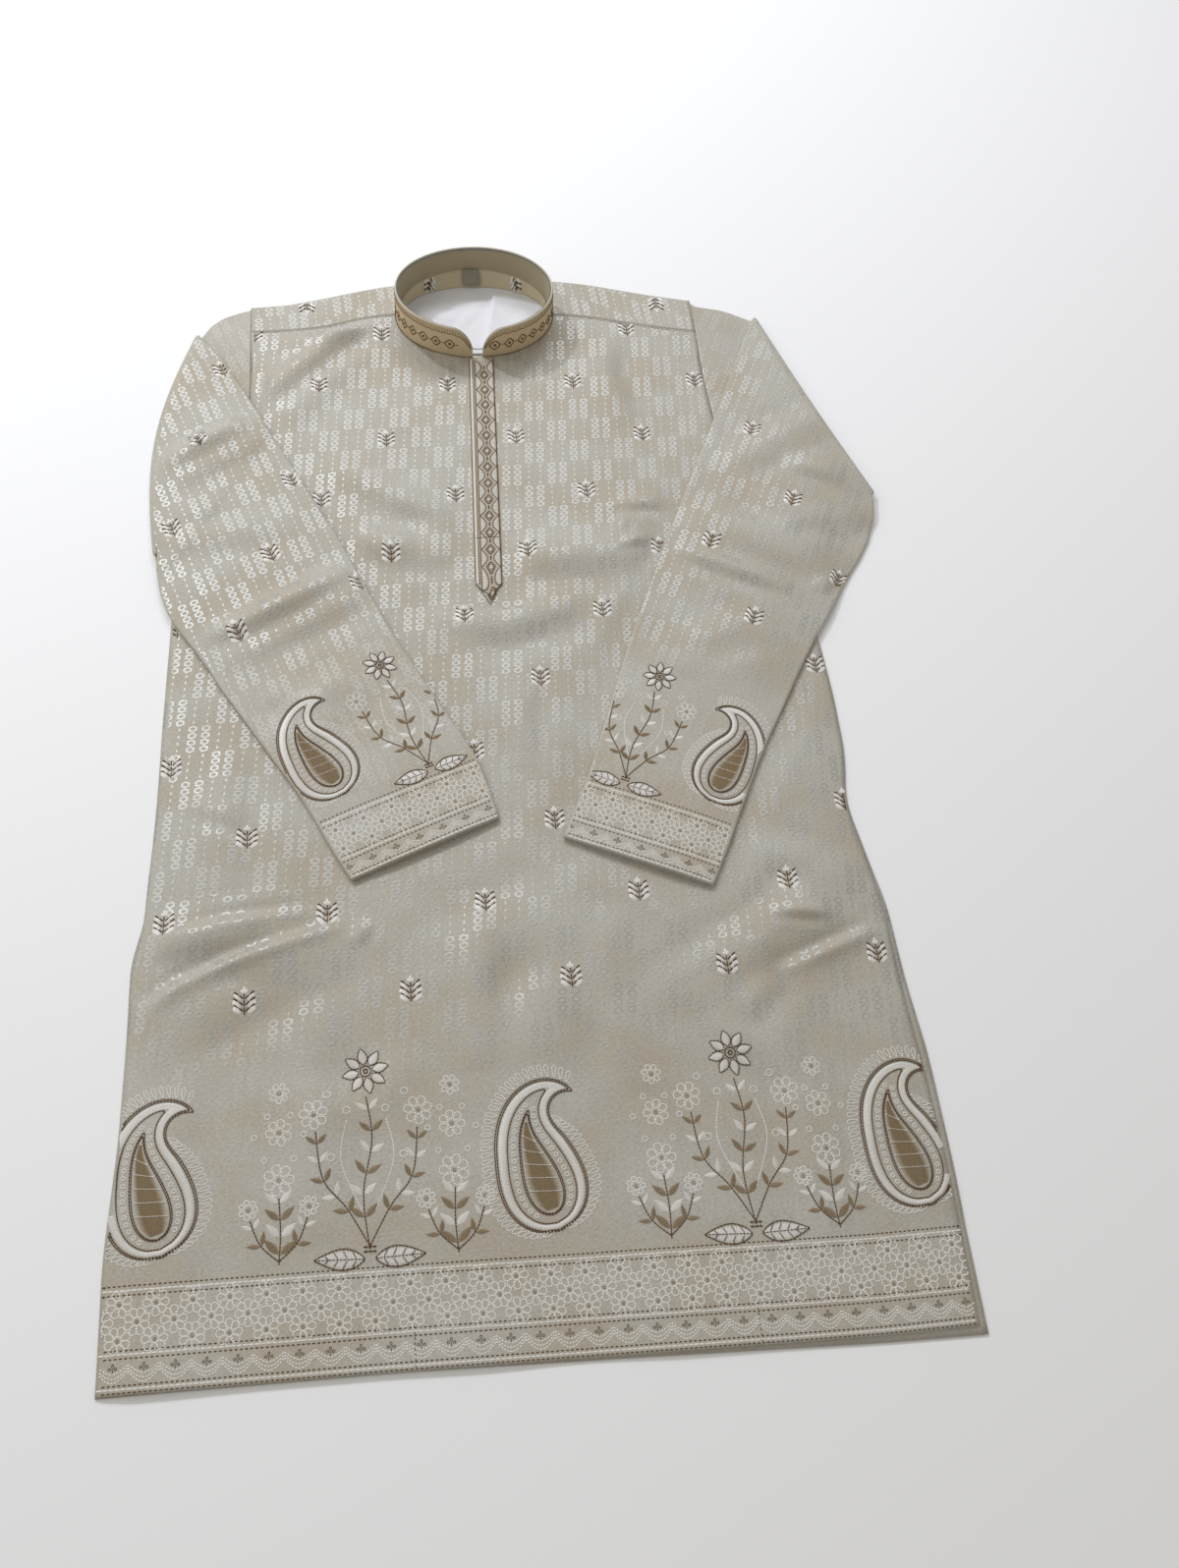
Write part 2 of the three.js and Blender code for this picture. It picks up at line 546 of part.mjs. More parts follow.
// The white lining: an oval on the inside of the back, with one soft fold.
function liningGeometry() {
  const inset = 5.5;
  const halfWidth = NECK.halfWidth - inset;
  const halfDepth = NECK.halfDepth - inset;
  const rows = 8;
  const cols = 16;
  const foot = CLOTH + GAP;
  const grid = [];
  for (let i = 0; i <= rows; i++) {
    const v = mix(-0.985, 0.985, i / rows);
    const row = [];
    for (let j = 0; j <= cols; j++) {
      const u = mix(-1, 1, j / cols);
      const x = NECK.x + halfWidth * u * Math.sqrt(1 - (v * 0.98) ** 2);
      row.push(new THREE.Vector3(x, NECK.y - 1 + halfDepth * v, foot));
    }
    grid.push(row);
  }
  const upper = grid.map((row) => row.map((p) => new THREE.Vector3(p.x, p.y, p.z + 1)));
  return sheetGeometry(upper, grid);
}

// The back neck facing: a crescent along the back of the neck, lying on the lining.
function neckFacingGeometry() {
  const steps = 24;
  const foot = CLOTH + GAP + 1 + GAP;
  const grid = [];
  for (let i = 0; i <= steps; i++) {
    const angle = mix(-1, 1, i / steps) * NECK_FACING.sideTaper * (Math.PI / 2);
    const outerA = NECK.halfWidth - 4;
    const outerB = NECK.halfDepth - 4;
    const depth = NECK_FACING.depth * Math.cos(angle) ** 0.5 + 5;
    const row = [0, 0.5, 1].map((share) => {
      const x = NECK.x + (outerA - 0.35 * depth * share) * Math.sin(angle);
      return new THREE.Vector3(x, NECK.y + (outerB - depth * share) * Math.cos(angle), foot);
    });
    grid.push(row);
  }
  const upper = grid.map((row) => row.map((p) => new THREE.Vector3(p.x, p.y, p.z + FACING_WALL)));
  return sheetGeometry(upper, grid);
}

function tabGeometry() {
  const foot = CLOTH + GAP + 1 + GAP + FACING_WALL + GAP;
  const tab = new THREE.BoxGeometry(TAB.width, TAB.length, TAB.thickness);
  tab.translate(TAB.x, NECK.y + NECK.halfDepth - 6 - TAB.length / 2, foot + TAB.thickness / 2);
  return tab;
}

// The placket: a strip moved out from the front panel, ending in a point.
function placketGeometry() {
  const rows = 22;
  const lift = HALF + GAP + 0.15;
  const upper = [];
  const lower = [];
  for (let i = 0; i <= rows; i++) {
    const down = i / rows;
    const middleY = mix(PLACKET.topY, PLACKET.bottomY, down);
    const middleX = mix(PLACKET.topX, PLACKET.bottomX, down);
    const row = [-0.5, -0.25, 0, 0.25, 0.5].map((across) => {
      const pointed = PLACKET.point * (1 - 2 * Math.abs(across)) * ease((down - 0.93) / 0.07);
      const y = middleY - pointed - (i === 0 ? 0.4 : 0);
      const x = middleX + across * PLACKET.width;
      return new THREE.Vector3(x, y, frontHeight(x, y) + lift);
    });
    lower.push(row);
    upper.push(row.map((p) => new THREE.Vector3(p.x, p.y, p.z + CLOTH)));
  }
  return sheetGeometry(upper, lower);
}

// ---------------------------------------------------------------- the garment
const cloth = (color, roughness) => new THREE.MeshStandardMaterial({ color, roughness, metalness: 0 });
const jacquard = cloth(0xd3cab6, 0.5);
const bandCloth = cloth(0xbfae90, 0.6);
const facingCloth = cloth(0xb7a78a, 0.7);
const placketCloth = cloth(0xc9bda4, 0.6);
const whiteLining = cloth(0xe4e3e0, 0.8);
const greyTab = cloth(0x7d7a70, 0.7);

const garment = new THREE.Group();
const pieces = [
  ["back", backPanel(), jacquard],
  ["front", frontPanel(), jacquard],
  ["sleeve_right", sleeveGeometry(sleeveRight), jacquard],
  ["sleeve_left", sleeveGeometry(sleeveLeft), jacquard],
  ["collar_band", collarWall(0, CLOTH, 0), bandCloth],
  ["collar_facing", collarWall(CLOTH + GAP, CLOTH + GAP + FACING_WALL, 1.2), facingCloth],
  ["placket", placketGeometry(), placketCloth],
  ["neck_facing", neckFacingGeometry(), facingCloth],
  ["lining", liningGeometry(), whiteLining],
  ["size_tab", tabGeometry(), greyTab],
];
for (const [name, geometry, material] of pieces) {
  const mesh = new THREE.Mesh(geometry, material);
  mesh.name = name;
  garment.add(mesh);
}

const bounds = new THREE.Box3().setFromObject(garment);
const middle = bounds.getCenter(new THREE.Vector3());
garment.position.set(-middle.x, -middle.y, -bounds.min.z);

export default garment;
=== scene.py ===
"""A kurta in cream satin jacquard, laid flat with its sleeves turned over the front.

Shapes are worked out in millimetres in the garment's own plane: x from the centre front line to the
side of the left arm, y from the hem to the collar, z up. `place` turns them into the frame's metres.
"""

import math

import bpy
import numpy as np
from mathutils import Matrix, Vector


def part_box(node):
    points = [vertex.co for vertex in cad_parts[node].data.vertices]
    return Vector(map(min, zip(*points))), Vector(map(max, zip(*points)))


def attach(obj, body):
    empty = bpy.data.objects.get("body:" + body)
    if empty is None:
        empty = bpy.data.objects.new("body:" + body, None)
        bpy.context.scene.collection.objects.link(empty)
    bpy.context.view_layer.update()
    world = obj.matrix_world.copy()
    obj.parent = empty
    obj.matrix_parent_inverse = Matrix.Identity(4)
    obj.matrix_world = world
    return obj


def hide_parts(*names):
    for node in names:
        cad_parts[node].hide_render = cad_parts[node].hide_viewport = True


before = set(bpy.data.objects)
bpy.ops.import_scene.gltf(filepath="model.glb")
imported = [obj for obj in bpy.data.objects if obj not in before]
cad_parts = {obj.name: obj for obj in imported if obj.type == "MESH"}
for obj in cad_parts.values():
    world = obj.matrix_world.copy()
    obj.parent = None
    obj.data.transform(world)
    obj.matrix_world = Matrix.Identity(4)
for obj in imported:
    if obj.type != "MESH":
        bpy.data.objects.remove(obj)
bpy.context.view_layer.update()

# ------------------------------------------------------------------ sizes, in millimetres
MM = 0.001
CLOTH = 1.0  # jacquard with its backing
OFF_FLOOR = 0.1
GAP = 0.3
FRONT_TOP = 2.7  # top of the front where it lies lowest
ROLL = 2.5  # radius of the roll along the shoulders
FRONT_LOFT = 1.0
SHOULDER_RISE = 45
NECK_X, NECK_Y, NECK_A, NECK_B = 1.5, 93.0, 81.5, 57.5
FACING_REACH = 1.35  # turn of the facing to each side of the middle of the back
COLLAR_HEIGHT, COLLAR_LEAN, COLLAR_TOP_A, COLLAR_TOP_B, COLLAR_FOOT = 42.0, -4.7, 80.0, 58.3, 1.7
COLLAR_GAP = (-6.0, 8.0)  # ends of the band at the centre front
COLLAR_CORNER = 20.0  # radius of the rounded front corners
COLLAR_FRONT_HEIGHT = 9.0
COLLAR_CLOSING, COLLAR_CLOSING_REACH = 2.3, 16  # the ends move this far together at the foot, over this
PLACKET_TOP, PLACKET_BOTTOM, PLACKET_WIDTH, PLACKET_POINT = (4.2, 33.0), (-7.2, -243.0), 26.0, 13.0

# the cloth's repeat: columns of small hexagons and dots, on a grain that leans a little
COLUMN, CELL = 11.2, 6.6
BODY_GRAIN = ((0.997, 0.027), (0.078, 0.997))  # weft and warp directions
SLEEVE_GRAIN = {-1: ((0.93, 0.37), (-0.345, 0.94)), 1: ((0.92, -0.39), (0.44, 0.90))}
SPRIG_ACROSS, SPRIG_ROW = 127.0, 68.9

# the collar band's box in the frame gives the garment's place there
_low, _high = (np.array(corner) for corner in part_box("collar_band"))
ORIGIN = np.array([(_low[0] + _high[0]) / 2 - NECK_X * MM, _high[1] - (NECK_Y + NECK_B) * MM, 0.0])


def place(points):
    """Garment millimetres to the frame's metres."""
    return np.asarray(points, float) * MM + ORIGIN


# ------------------------------------------------------------------ tables, as in the part's source
SIDE_BLUR, SEAM_BLUR, FOLD_BLUR, HEM_BLUR = 14, 8, 10, 20  # over which the tables' corners are softened
BODY = np.array([  # y, left edge, right edge
    (-915, -318, 304), (-875, -317.5, 305), (-797, -318, 306.5), (-718, -312, 305), (-646, -310, 301),
    (-577, -310, 301), (-555, -302, 297), (-510, -300, 291), (-484, -298, 287.5), (-437, -296, 296),
    (-377, -295, 297), (-282, -292, 293), (-178, -290, 291), (-150, -272, 274), (-110, -247, 250),
    (-60, -230, 235), (0, -226, 232), (140, -226, 232)])
BACK_PEEK = np.array([(-915, 0, 5), (-840, 0, 4), (-700, 0, 6), (-560, 0, 2), (-480, 0, 0)])
HEM = np.array([  # x, front hem, back hem
    (-318, -883, -884), (-115, -889.5, -890), (45, -896, -898), (230, -903.5, -908), (309, -904.5, -911)])
SHOULDER = np.array([  # x, fold of the back, shoulder seam
    (-228, 106, 72), (-190, 109, 73), (-152, 118, 77), (-115, 128, 88), (-83, 135, 93),
    (86, 139, 90), (120, 134, 85), (188, 117, 70), (236, 107, 62)])
SHOULDER_LEFT, SHOULDER_RIGHT = -226, 232  # ends of the panels' columns

# creases of the front: x0, y0, x1, y1, across, height
FRONT_CREASES = [
    (-205, 60, -95, 84, 26, 2.6), (-215, -60, -120, 62, 34, 3.6), (-150, -205, 40, -190, 34, 3.2),
    (-95, -300, 70, -268, 34, 2.2), (-300, -560, -160, -590, 30, 3.0),
    (-290, -640, -150, -575, 34, 4.2), (-60, -600, 30, -560, 40, 3.6), (110, -640, 270, -560, 30, 4.6),
    (200, -520, 290, -560, 26, 3.2), (-20, -700, 60, -560, 44, 2.6)]

# pinched folds: a path from left to right (or down), half width, rise. A positive rise turns the
# narrow face of the fold to the collar, where it takes the light; a negative one turns it away.
FRONT_FOLDS = [
    ([(-236, -66), (-217, -27), (-153, 38), (-98, 92), (-82, 108)], 11, -3.4),
    ([(-162, -104), (-106, -143), (-64, -168), (-18, -192)], 14, -2.9),
    ([(-160, -192), (-126, -207), (-72, -207)], 13, -2.0),
    ([(-28, -221), (41, -231), (106, -228), (164, -213)], 18, -2.9),
    ([(112, -164), (153, -161), (192, -176)], 6, -1.4), ([(118, -213), (142, -205), (166, -196)], 4, -1.4),
    ([(108, -202), (116, -184), (128, -164)], 5, 1.1),
    ([(-59, -283), (4, -302), (60, -284), (89, -254)], 14, -1.8),
    ([(-157, -289), (-124, -351), (-83, -373)], 13, -1.6),
    ([(-304, -640), (-296, -616), (-276, -601), (-234, -585), (-197, -574), (-146, -558)], 5, 2.9),
    ([(-298, -582), (-250, -574), (-205, -562)], 8, -1.7),
    ([(-296, -562), (-262, -556), (-241, -552), (-207, -549), (-176, -546)], 5, 2.0),
    ([(-134, -584), (-124, -562)], 4, -1.3),
    ([(198, -628), (227, -618), (256, -608), (294, -596)], 5, 2.4),
    ([(204, -582), (229, -586), (252, -590)], 4, -1.8), ([(108, -560), (134, -590), (160, -622)], 3, 0.9),
    ([(143, -644), (173, -662), (197, -640), (199, -598)], 10, -1.6),
    ([(283, -545), (286, -562), (282, -584)], 4, -1.4), ([(26, -330), (22, -380), (18, -436)], 9, 1.0),
    ([(225, -540), (245, -565), (262, -600)], 12, 1.4),
    ([(-225, -382), (-230, -456), (-223, -526)], 13, 1.5), ([(-30, -540), (-27, -607), (-34, -690)], 12, 1.5),
    ([(-272, -452), (-250, -462), (-228, -474)], 7, -1.0), ([(120, -640), (150, -690), (200, -716)], 16, -1.5),
    ([(60, -560), (48, -640), (66, -720)], 14, -1.3), ([(-190, -700), (-130, -690), (-96, -660)], 16, 1.3),
    ([(150, 66), (140, 10), (152, -60)], 13, 1.6), ([(-150, -600), (-158, -700), (-150, -800)], 16, 1.1),
    ([(-250, -640), (-262, -720), (-256, -840)], 15, 1.0), ([(180, -640), (192, -740), (186, -850)], 16, -1.1)]

# sleeve sections after the turn: over x, over y, under x, under y, bow
SLEEVE_OVER = {
    -1: np.array([
        (-274, 64, -306, -200, 19), (-254, 37, -306, -215, 16), (-226, -17, -302, -240, 12),
        (-196, -78, -294, -264, 8), (-166, -140, -279, -288, 4), (-145, -182, -263, -312, 2),
        (-122, -236, -244, -346, 0), (-97, -293, -222, -381, 0), (-77, -332, -203, -412, 0),
        (-57, -371, -183, -443, 0), (-42, -398, -173, -461, 0), (-29, -424, -164, -479, 0),
        (-21, -452, -152, -503, 0), (-15, -480, -139, -527, 0)], float),
    1: np.array([
        (295, 77, 379, -160, 2), (268, 20, 376, -185, 6), (246, -30, 366, -209, 6),
        (223, -79, 353, -230, 5), (195, -138, 337, -251, 3), (167, -197, 313, -288, 1),
        (141, -256, 290, -320, 0), (115, -315, 264, -362, 0), (100, -354, 243, -397, 0),
        (85, -392, 222, -431, 0), (75, -418, 207, -460, 0), (65, -443, 192, -489, 0),
        (51, -472, 176, -521, 0), (37, -501.5, 158, -554, 0)], float)}
# the part before the turn: two rows, then the turn itself
SLEEVE_HEAD = {
    -1: np.array([(-227.5, 105, -291, -178, 0), (-256, 100, -301, -190, -4), (-276, 68, -306, -198, 19)], float),
    1: np.array([(236.5, 104, 292, -178, 0), (266, 96, 336, -172, -8), (297, 80, 379, -157, 2)], float)}
SLEEVE_CREASES = {
    -1: [(-305, -115, -215, -52, 30, 4.6), (-240, -300, -110, -228, 34, 5.0),
         (-300, -190, -190, -165, 26, 2.6), (-190, -400, -120, -330, 30, 2.2)],
    1: [(240, -110, 350, -60, 30, 3.8), (190, -175, 330, -240, 34, 5.2),
        (300, -90, 374, -150, 30, 3.0), (150, -330, 240, -300, 30, 2.4)]}
SLEEVE_FOLDS = {
    -1: [([(-302, -105), (-266, -82), (-222, -53)], 8, -2.8),
         ([(-264, -298), (-226, -286), (-179, -261), (-128, -227)], 9, -3.2),
         ([(-296, -168), (-262, -160), (-228, -150)], 8, -1.2),
         ([(-214, -360), (-172, -366), (-130, -346)], 12, -1.2)],
    1: [([(168, -218), (221, -246), (276, -272)], 7, -2.6), ([(290, -120), (322, -134), (348, -150)], 7, -1.4),
        ([(250, -160), (282, -196), (330, -206)], 14, -1.4), ([(296, -262), (312, -270), (330, -250)], 6, -1.2),
        ([(150, -330), (196, -338), (240, -330)], 11, 1.1)]}
STACK = 4.0  # two plies of a sleeve with the air between them
SLEEVE_PILLOW = 1.6
SLEEVE_ROUND = 2.6  # radius of a sleeve's folds at its sides
SLEEVE_WIDE = 165.0
OVER_BODY, OVER_SLEEVE, SUPPORT_MARGIN, SUPPORT_FALL = 3.35, 4.75, 12.0, 30.0
FOLD_DEPTH = 1.3  # share of the tables' rise that the folds take
HEAD_DIP = 2.0  # how far a sleeve's first part sinks beside the fold that lies on it
HEAD_FIGURES_PAINTED_SHADE = {-1: 0.4, 1: 0.8}  # how strongly the figures show on a sleeve's first part: weakened as painted shade, most on the right sleeve, whose first part lies in a shaded hollow

# slow unevenness: wave lengths over 2 pi along x and y, phase, height
BODY_WAVES = [(41, 97, 0.4, 0.50), (-63, 51, 1.9, 0.42), (27, -120, 3.0, 0.30), (140, 23, 5.1, 0.24),
              (19, 210, 2.0, 0.20)]
SLEEVE_WAVES = [(37, 51, 0.9, 0.36), (-29, 68, 2.2, 0.30), (70, -24, 4.0, 0.22)]


# ------------------------------------------------------------------ small working functions
def ease(t):
    """Smooth step: 3t^2 - 2t^3 between 0 and 1."""
    t = np.clip(t, 0, 1)
    return t * t * (3 - 2 * t)


def fade(value, start, over):
    """Smooth step from 0 at `start` to 1 at `start` + `over`."""
    return ease((value - start) / over)


def mix(a, b, t):
    """a at t = 0, b at t = 1."""
    return a + (b - a) * t


def look(table, at, column, blur=0.0):
    """A table's column at `at`, straight between rows, with its corners softened over +-blur."""
    at = np.asarray(at, float)
    steps = np.linspace(-1, 1, 5) * blur if blur else [0.0]
    return sum(np.interp(at + s, table[:, 0], table[:, column]) for s in steps) / len(steps)


def side_x(side, y, blur=SIDE_BLUR):
    """x of the body's edge on one side, at height y."""
    return look(BODY, y, 1 if side < 0 else 2, blur)


def body_inset(x, y):
    """Distance in from the nearer side of the body."""
    return np.minimum(x - side_x(-1, y), side_x(1, y) - x)


def seam_y(x):
    """y of the shoulder seam."""
    return look(SHOULDER, x, 2, SEAM_BLUR)


def front_hem(x):
    """y of the front's hem."""
    return look(HEM, x, 1, HEM_BLUR)


def run_along(path):
    """Distance run along a path at each of its points."""
    return np.concatenate([[0], np.cumsum(np.hypot(*np.diff(path, axis=0).T))])


def walk(path, at, along=None):
    """Points of a path at the distances `at` along it."""
    path = np.asarray(path, float)
    along = run_along(path) if along is None else along
    return np.stack([np.interp(at, along, path[:, i]) for i in (0, 1)], -1)


def near_line(x, y, x0, y0, x1, y1):
    """Distance of points from a straight piece, and how far along it they lie (0 to 1)."""
    dx, dy = x1 - x0, y1 - y0
    t = np.clip(((x - x0) * dx + (y - y0) * dy) / (dx * dx + dy * dy + 1e-9), 0, 1)
    return np.hypot(x - x0 - t * dx, y - y0 - t * dy), t


def near_path(path, x, y):
    """Least distance of points from a run of straight pieces."""
    least = np.full(np.shape(x), 1e9)
    for (x0, y0), (x1, y1) in zip(path[:-1], path[1:]):
        least = np.minimum(least, near_line(x, y, x0, y0, x1, y1)[0])
    return least


def outside_by(outline, x, y):
    """Signed distance to a closed outline, negative inside (even-odd rule)."""
    inside = np.zeros(np.shape(x), bool)
    for (x0, y0), (x1, y1) in zip(np.roll(outline, 1, axis=0), outline):
        crosses = (y0 > y) != (y1 > y)
        at = x0 + (y - y0) * (x1 - x0) / (y1 - y0 if y1 != y0 else 1e-9)
        inside ^= crosses & (x < at)
    distance = near_path(np.vstack([outline, outline[:1]]), x, y)
    return np.where(inside, -distance, distance)


def crease_height(creases, x, y):
    """Soft ridges: a smooth bump across, a sine along, with a faint trough on either side."""
    total = np.zeros(np.shape(x))
    for x0, y0, x1, y1, across, height in creases:
        d, t = near_line(x, y, x0, y0, x1, y1)
        ridge = ease(1 - d / across) - 0.22 * ease(1 - abs(d - across * 0.95) / (across * 0.6))
        total += height * ridge * (0.25 + 0.75 * np.sin(np.pi * t))
    return total


def fold_height(folds, x, y):
    """Pinched folds: a soft swell with a steep narrow face along the path. With u the distance to the
    right of the path over the half width, the height is rise * (u exp((1 - u^2) / 2) + exp(-u^2 / 10)),
    fading to nothing at both ends."""
    total = np.zeros(np.shape(x))
    for path, half_width, rise in folds:
        best, signed, place_along, run = np.full(np.shape(x), 1e9), 0.0, 0.0, 0.0
        for (x0, y0), (x1, y1) in zip(path[:-1], path[1:]):
            d, t = near_line(x, y, x0, y0, x1, y1)
            length = math.hypot(x1 - x0, y1 - y0)
            side = np.sign((x - x0) * (y1 - y0) - (y - y0) * (x1 - x0))
            nearer = d < best
            best = np.where(nearer, d, best)
            signed = np.where(nearer, side * d, signed)
            place_along = np.where(nearer, run + t * length, place_along)
            run += length
        u = signed / half_width * np.sign(rise)
        profile = u * np.exp(np.clip(0.5 - 0.5 * u * u, -30, 1)) + np.exp(np.clip(-u * u / 10, -30, 0))
        total += FOLD_DEPTH * abs(rise) * profile * np.clip(np.sin(np.pi * place_along / run), 0, 1) ** 0.7
    return total


def ripple(x, y, waves):
    """Slight unevenness of cloth that has been folded: a sum of slow sine waves."""
    total = np.zeros(np.shape(x))
    for kx, ky, phase, size in waves:
        total += size * np.sin(x / kx + y / ky + phase)
    return total


def head_outline(side):
    """Outline of a sleeve's part before the turn."""
    first, _, turn = SLEEVE_HEAD[side]
    return np.array([first[:2], turn[:2], turn[2:4], first[2:4], (first[0], -60)])


def over_outline(side):
    """Outline of a sleeve's part after the turn."""
    rows = SLEEVE_OVER[side]
    return np.vstack([rows[:, :2], rows[::-1, 2:4]])


BODY_OUTLINE = np.vstack([BODY[:, [1, 0]], BODY[::-1, [2, 0]]])
OVER_OUTLINES = {side: over_outline(side) for side in (-1, 1)}
HEAD_OUTLINES = {side: head_outline(side) for side in (-1, 1)}


# ------------------------------------------------------------------ heights that pieces share
def placket_x(y):
    """Middle line of the placket."""
    t = (y - PLACKET_BOTTOM[1]) / (PLACKET_TOP[1] - PLACKET_BOTTOM[1])
    return mix(PLACKET_BOTTOM[0], PLACKET_TOP[0], t)


def front_top(x, y):
    """Upper face of the front: low at the edges and under the sleeves, lifted in the open, climbing
    to the shoulder seams, with creases, folds and slack on top; these fade at the placket, the neck
    and the seams. The sides round down, less so under the sleeves."""
    x, y = np.asarray(x, float), np.asarray(y, float)
    edge, seam = body_inset(x, y), seam_y(x)
    clear = np.minimum(*(fade(outside_by(OVER_OUTLINES[side], x, y), 5, 24) for side in (-1, 1)))
    in_open = clear * fade(edge, 0, 26)
    climb = fade(y, seam - SHOULDER_RISE, SHOULDER_RISE)
    beside = np.where(y > PLACKET_BOTTOM[1] - 30, fade(abs(x - placket_x(y)), 17, 30), 1.0)
    ring = np.hypot((x - NECK_X) / NECK_A, (y - NECK_Y) / NECK_B)
    lift = FRONT_LOFT * in_open
    folds = crease_height(FRONT_CREASES, x, y) + fold_height(FRONT_FOLDS, x, y)
    folds *= in_open * beside * fade(ring, 1.02, 1 / 3)
    slack = ripple(x, y, BODY_WAVES) * in_open * (0.3 + 0.7 * beside)
    shoulder = (2 * ROLL + CLOTH + 0.2 - FRONT_TOP - lift) * climb
    roll_edge = mix(1.1, 0.4, fade(y, -160, 30)) * (1 - rounded(edge, 3.0)) * (1 - climb)
    return FRONT_TOP + lift + (folds + slack) * fade(-y, 2 - seam, 16) + shoulder - roll_edge


def support(side, x, y):
    """Height of what a turned sleeve lies on: the body, or the sleeve's own first part."""
    def plateau(outline, height):
        """Level over the outline, falling away smoothly outside it."""
        return height * (1 - fade(outside_by(outline, x, y), SUPPORT_MARGIN, SUPPORT_FALL))
    return np.maximum(plateau(HEAD_OUTLINES[side], OVER_SLEEVE), plateau(BODY_OUTLINE, OVER_BODY))


def sleeve_edge(side, x, y):
    """Distance in from the overarm and underarm folds of a turned sleeve."""
    rows = SLEEVE_OVER[side]
    return np.minimum(near_path(rows[:, :2], x, y), near_path(rows[:, 2:4], x, y))


def rounded(distance, radius):
    """Quarter ellipse: 0 at the fold, 1 from `radius` inwards."""
    return np.sqrt(np.clip(1 - (1 - np.clip(distance / radius, 0, 1)) ** 2, 0, 1))


def sleeve_top(side, x, y, hidden=False):
    """Upper face of a turned sleeve, or its lower face if hidden: rounded at the folds, a little
    fuller in the middle, with its creases and slack."""
    x, y = np.asarray(x, float), np.asarray(y, float)
    d = sleeve_edge(side, x, y)
    base, half = support(side, x, y), STACK / 2
    if hidden:
        return base + half - half * rounded(d, SLEEVE_ROUND)
    folds = crease_height(SLEEVE_CREASES[side], x, y) + fold_height(SLEEVE_FOLDS[side], x, y)
    soft = SLEEVE_PILLOW * fade(d, 0, 40) + folds * fade(d, 0, 16) + ripple(x, y, SLEEVE_WAVES) * fade(d, 0, 20)
    return base + half + half * rounded(d, SLEEVE_ROUND) + soft


# ------------------------------------------------------------------ meshes
def grain(points, axes):
    """Cloth coordinates of points in the garment's plane, counted in columns and cells of the repeat."""
    (wx, wy), (ux, uy) = axes
    det = wx * uy - wy * ux
    x, y = points[..., 0], points[..., 1]
    across = (x * uy - y * ux) / det
    along = (wx * y - wy * x) / det
    return np.stack([across / COLUMN, along / CELL], -1)


def make_piece(name, points, faces, material, uv=None, figured=None):
    """A smooth mesh object from arrays; `uv` and `figured` have one row for each point."""
    mesh = bpy.data.meshes.new(name)
    mesh.from_pydata(place(points).tolist(), [], faces.tolist())
    mesh.update()
    if uv is not None:
        layer = mesh.uv_layers.new(name="cloth")
        loops = np.empty(len(mesh.loops), np.int32)
        mesh.loops.foreach_get("vertex_index", loops)
        layer.data.foreach_set("uv", np.asarray(uv, float)[loops].ravel())
    if figured is not None:
        mesh.attributes.new("figured", "FLOAT", "POINT").data.foreach_set("value", np.ravel(figured))
    mesh.polygons.foreach_set("use_smooth", np.ones(len(mesh.polygons), bool))
    piece = bpy.data.objects.new(name, mesh)
    bpy.context.scene.collection.objects.link(piece)
    mesh.materials.append(material)
    return piece


def grid_faces(rows, cols, close=False):
    """Quads of a grid of points; `close` joins the last column to the first."""
    i, j = np.meshgrid(np.arange(rows - 1), np.arange(cols if close else cols - 1), indexing="ij")
    k = (j + 1) % cols
    return np.stack([i * cols + j, i * cols + k, (i + 1) * cols + k, (i + 1) * cols + j], -1).reshape(-1, 4)


def cloth_sheet(name, grid, material, thickness, flip=False, uv=None, figured=None, close=False):
    """A sheet of cloth from a grid of points on its outer face, with its wall inwards. Its cloth
    coordinates are the plan's centimetres unless `uv` gives others."""
    points = grid.reshape(-1, 3)
    faces = grid_faces(*grid.shape[:2], close)
    uv = points[:, :2] / 10 if uv is None else uv.reshape(-1, 2)
    piece = make_piece(name, points, faces[:, ::-1] if flip else faces, material, uv, figured)
    wall = piece.modifiers.new("wall", "SOLIDIFY")
    wall.thickness = thickness * MM
    wall.offset = -1.0
    return piece


# ------------------------------------------------------------------ materials
def linear(code):
    """sRGB hex to linear RGBA."""
    parts = [int(code[i:i + 2], 16) / 255 for i in (0, 2, 4)]
    return tuple(c / 12.92 if c <= 0.04045 else ((c + 0.055) / 1.055) ** 2.4 for c in parts) + (1.0,)


def node(tree, kind, settings=None, links=None):
    """Adds one node; `settings` are properties or socket values, `links` joins sockets to outputs."""
    made = tree.nodes.new(kind)
    for key, value in (settings or {}).items():
        if isinstance(key, str) and hasattr(made, key):
            setattr(made, key, value)
        else:
            made.inputs[key].default_value = value
    for key, source in (links or {}).items():
        tree.links.new(getattr(source, "output", source), made.inputs[key])
    return made


def finish_of(name):
    """A new material with its tree, shader and no other nodes."""
    material = bpy.data.materials.new(name)
    material.use_nodes = True
    tree = material.node_tree
    return material, tree, tree.nodes["Principled BSDF"]


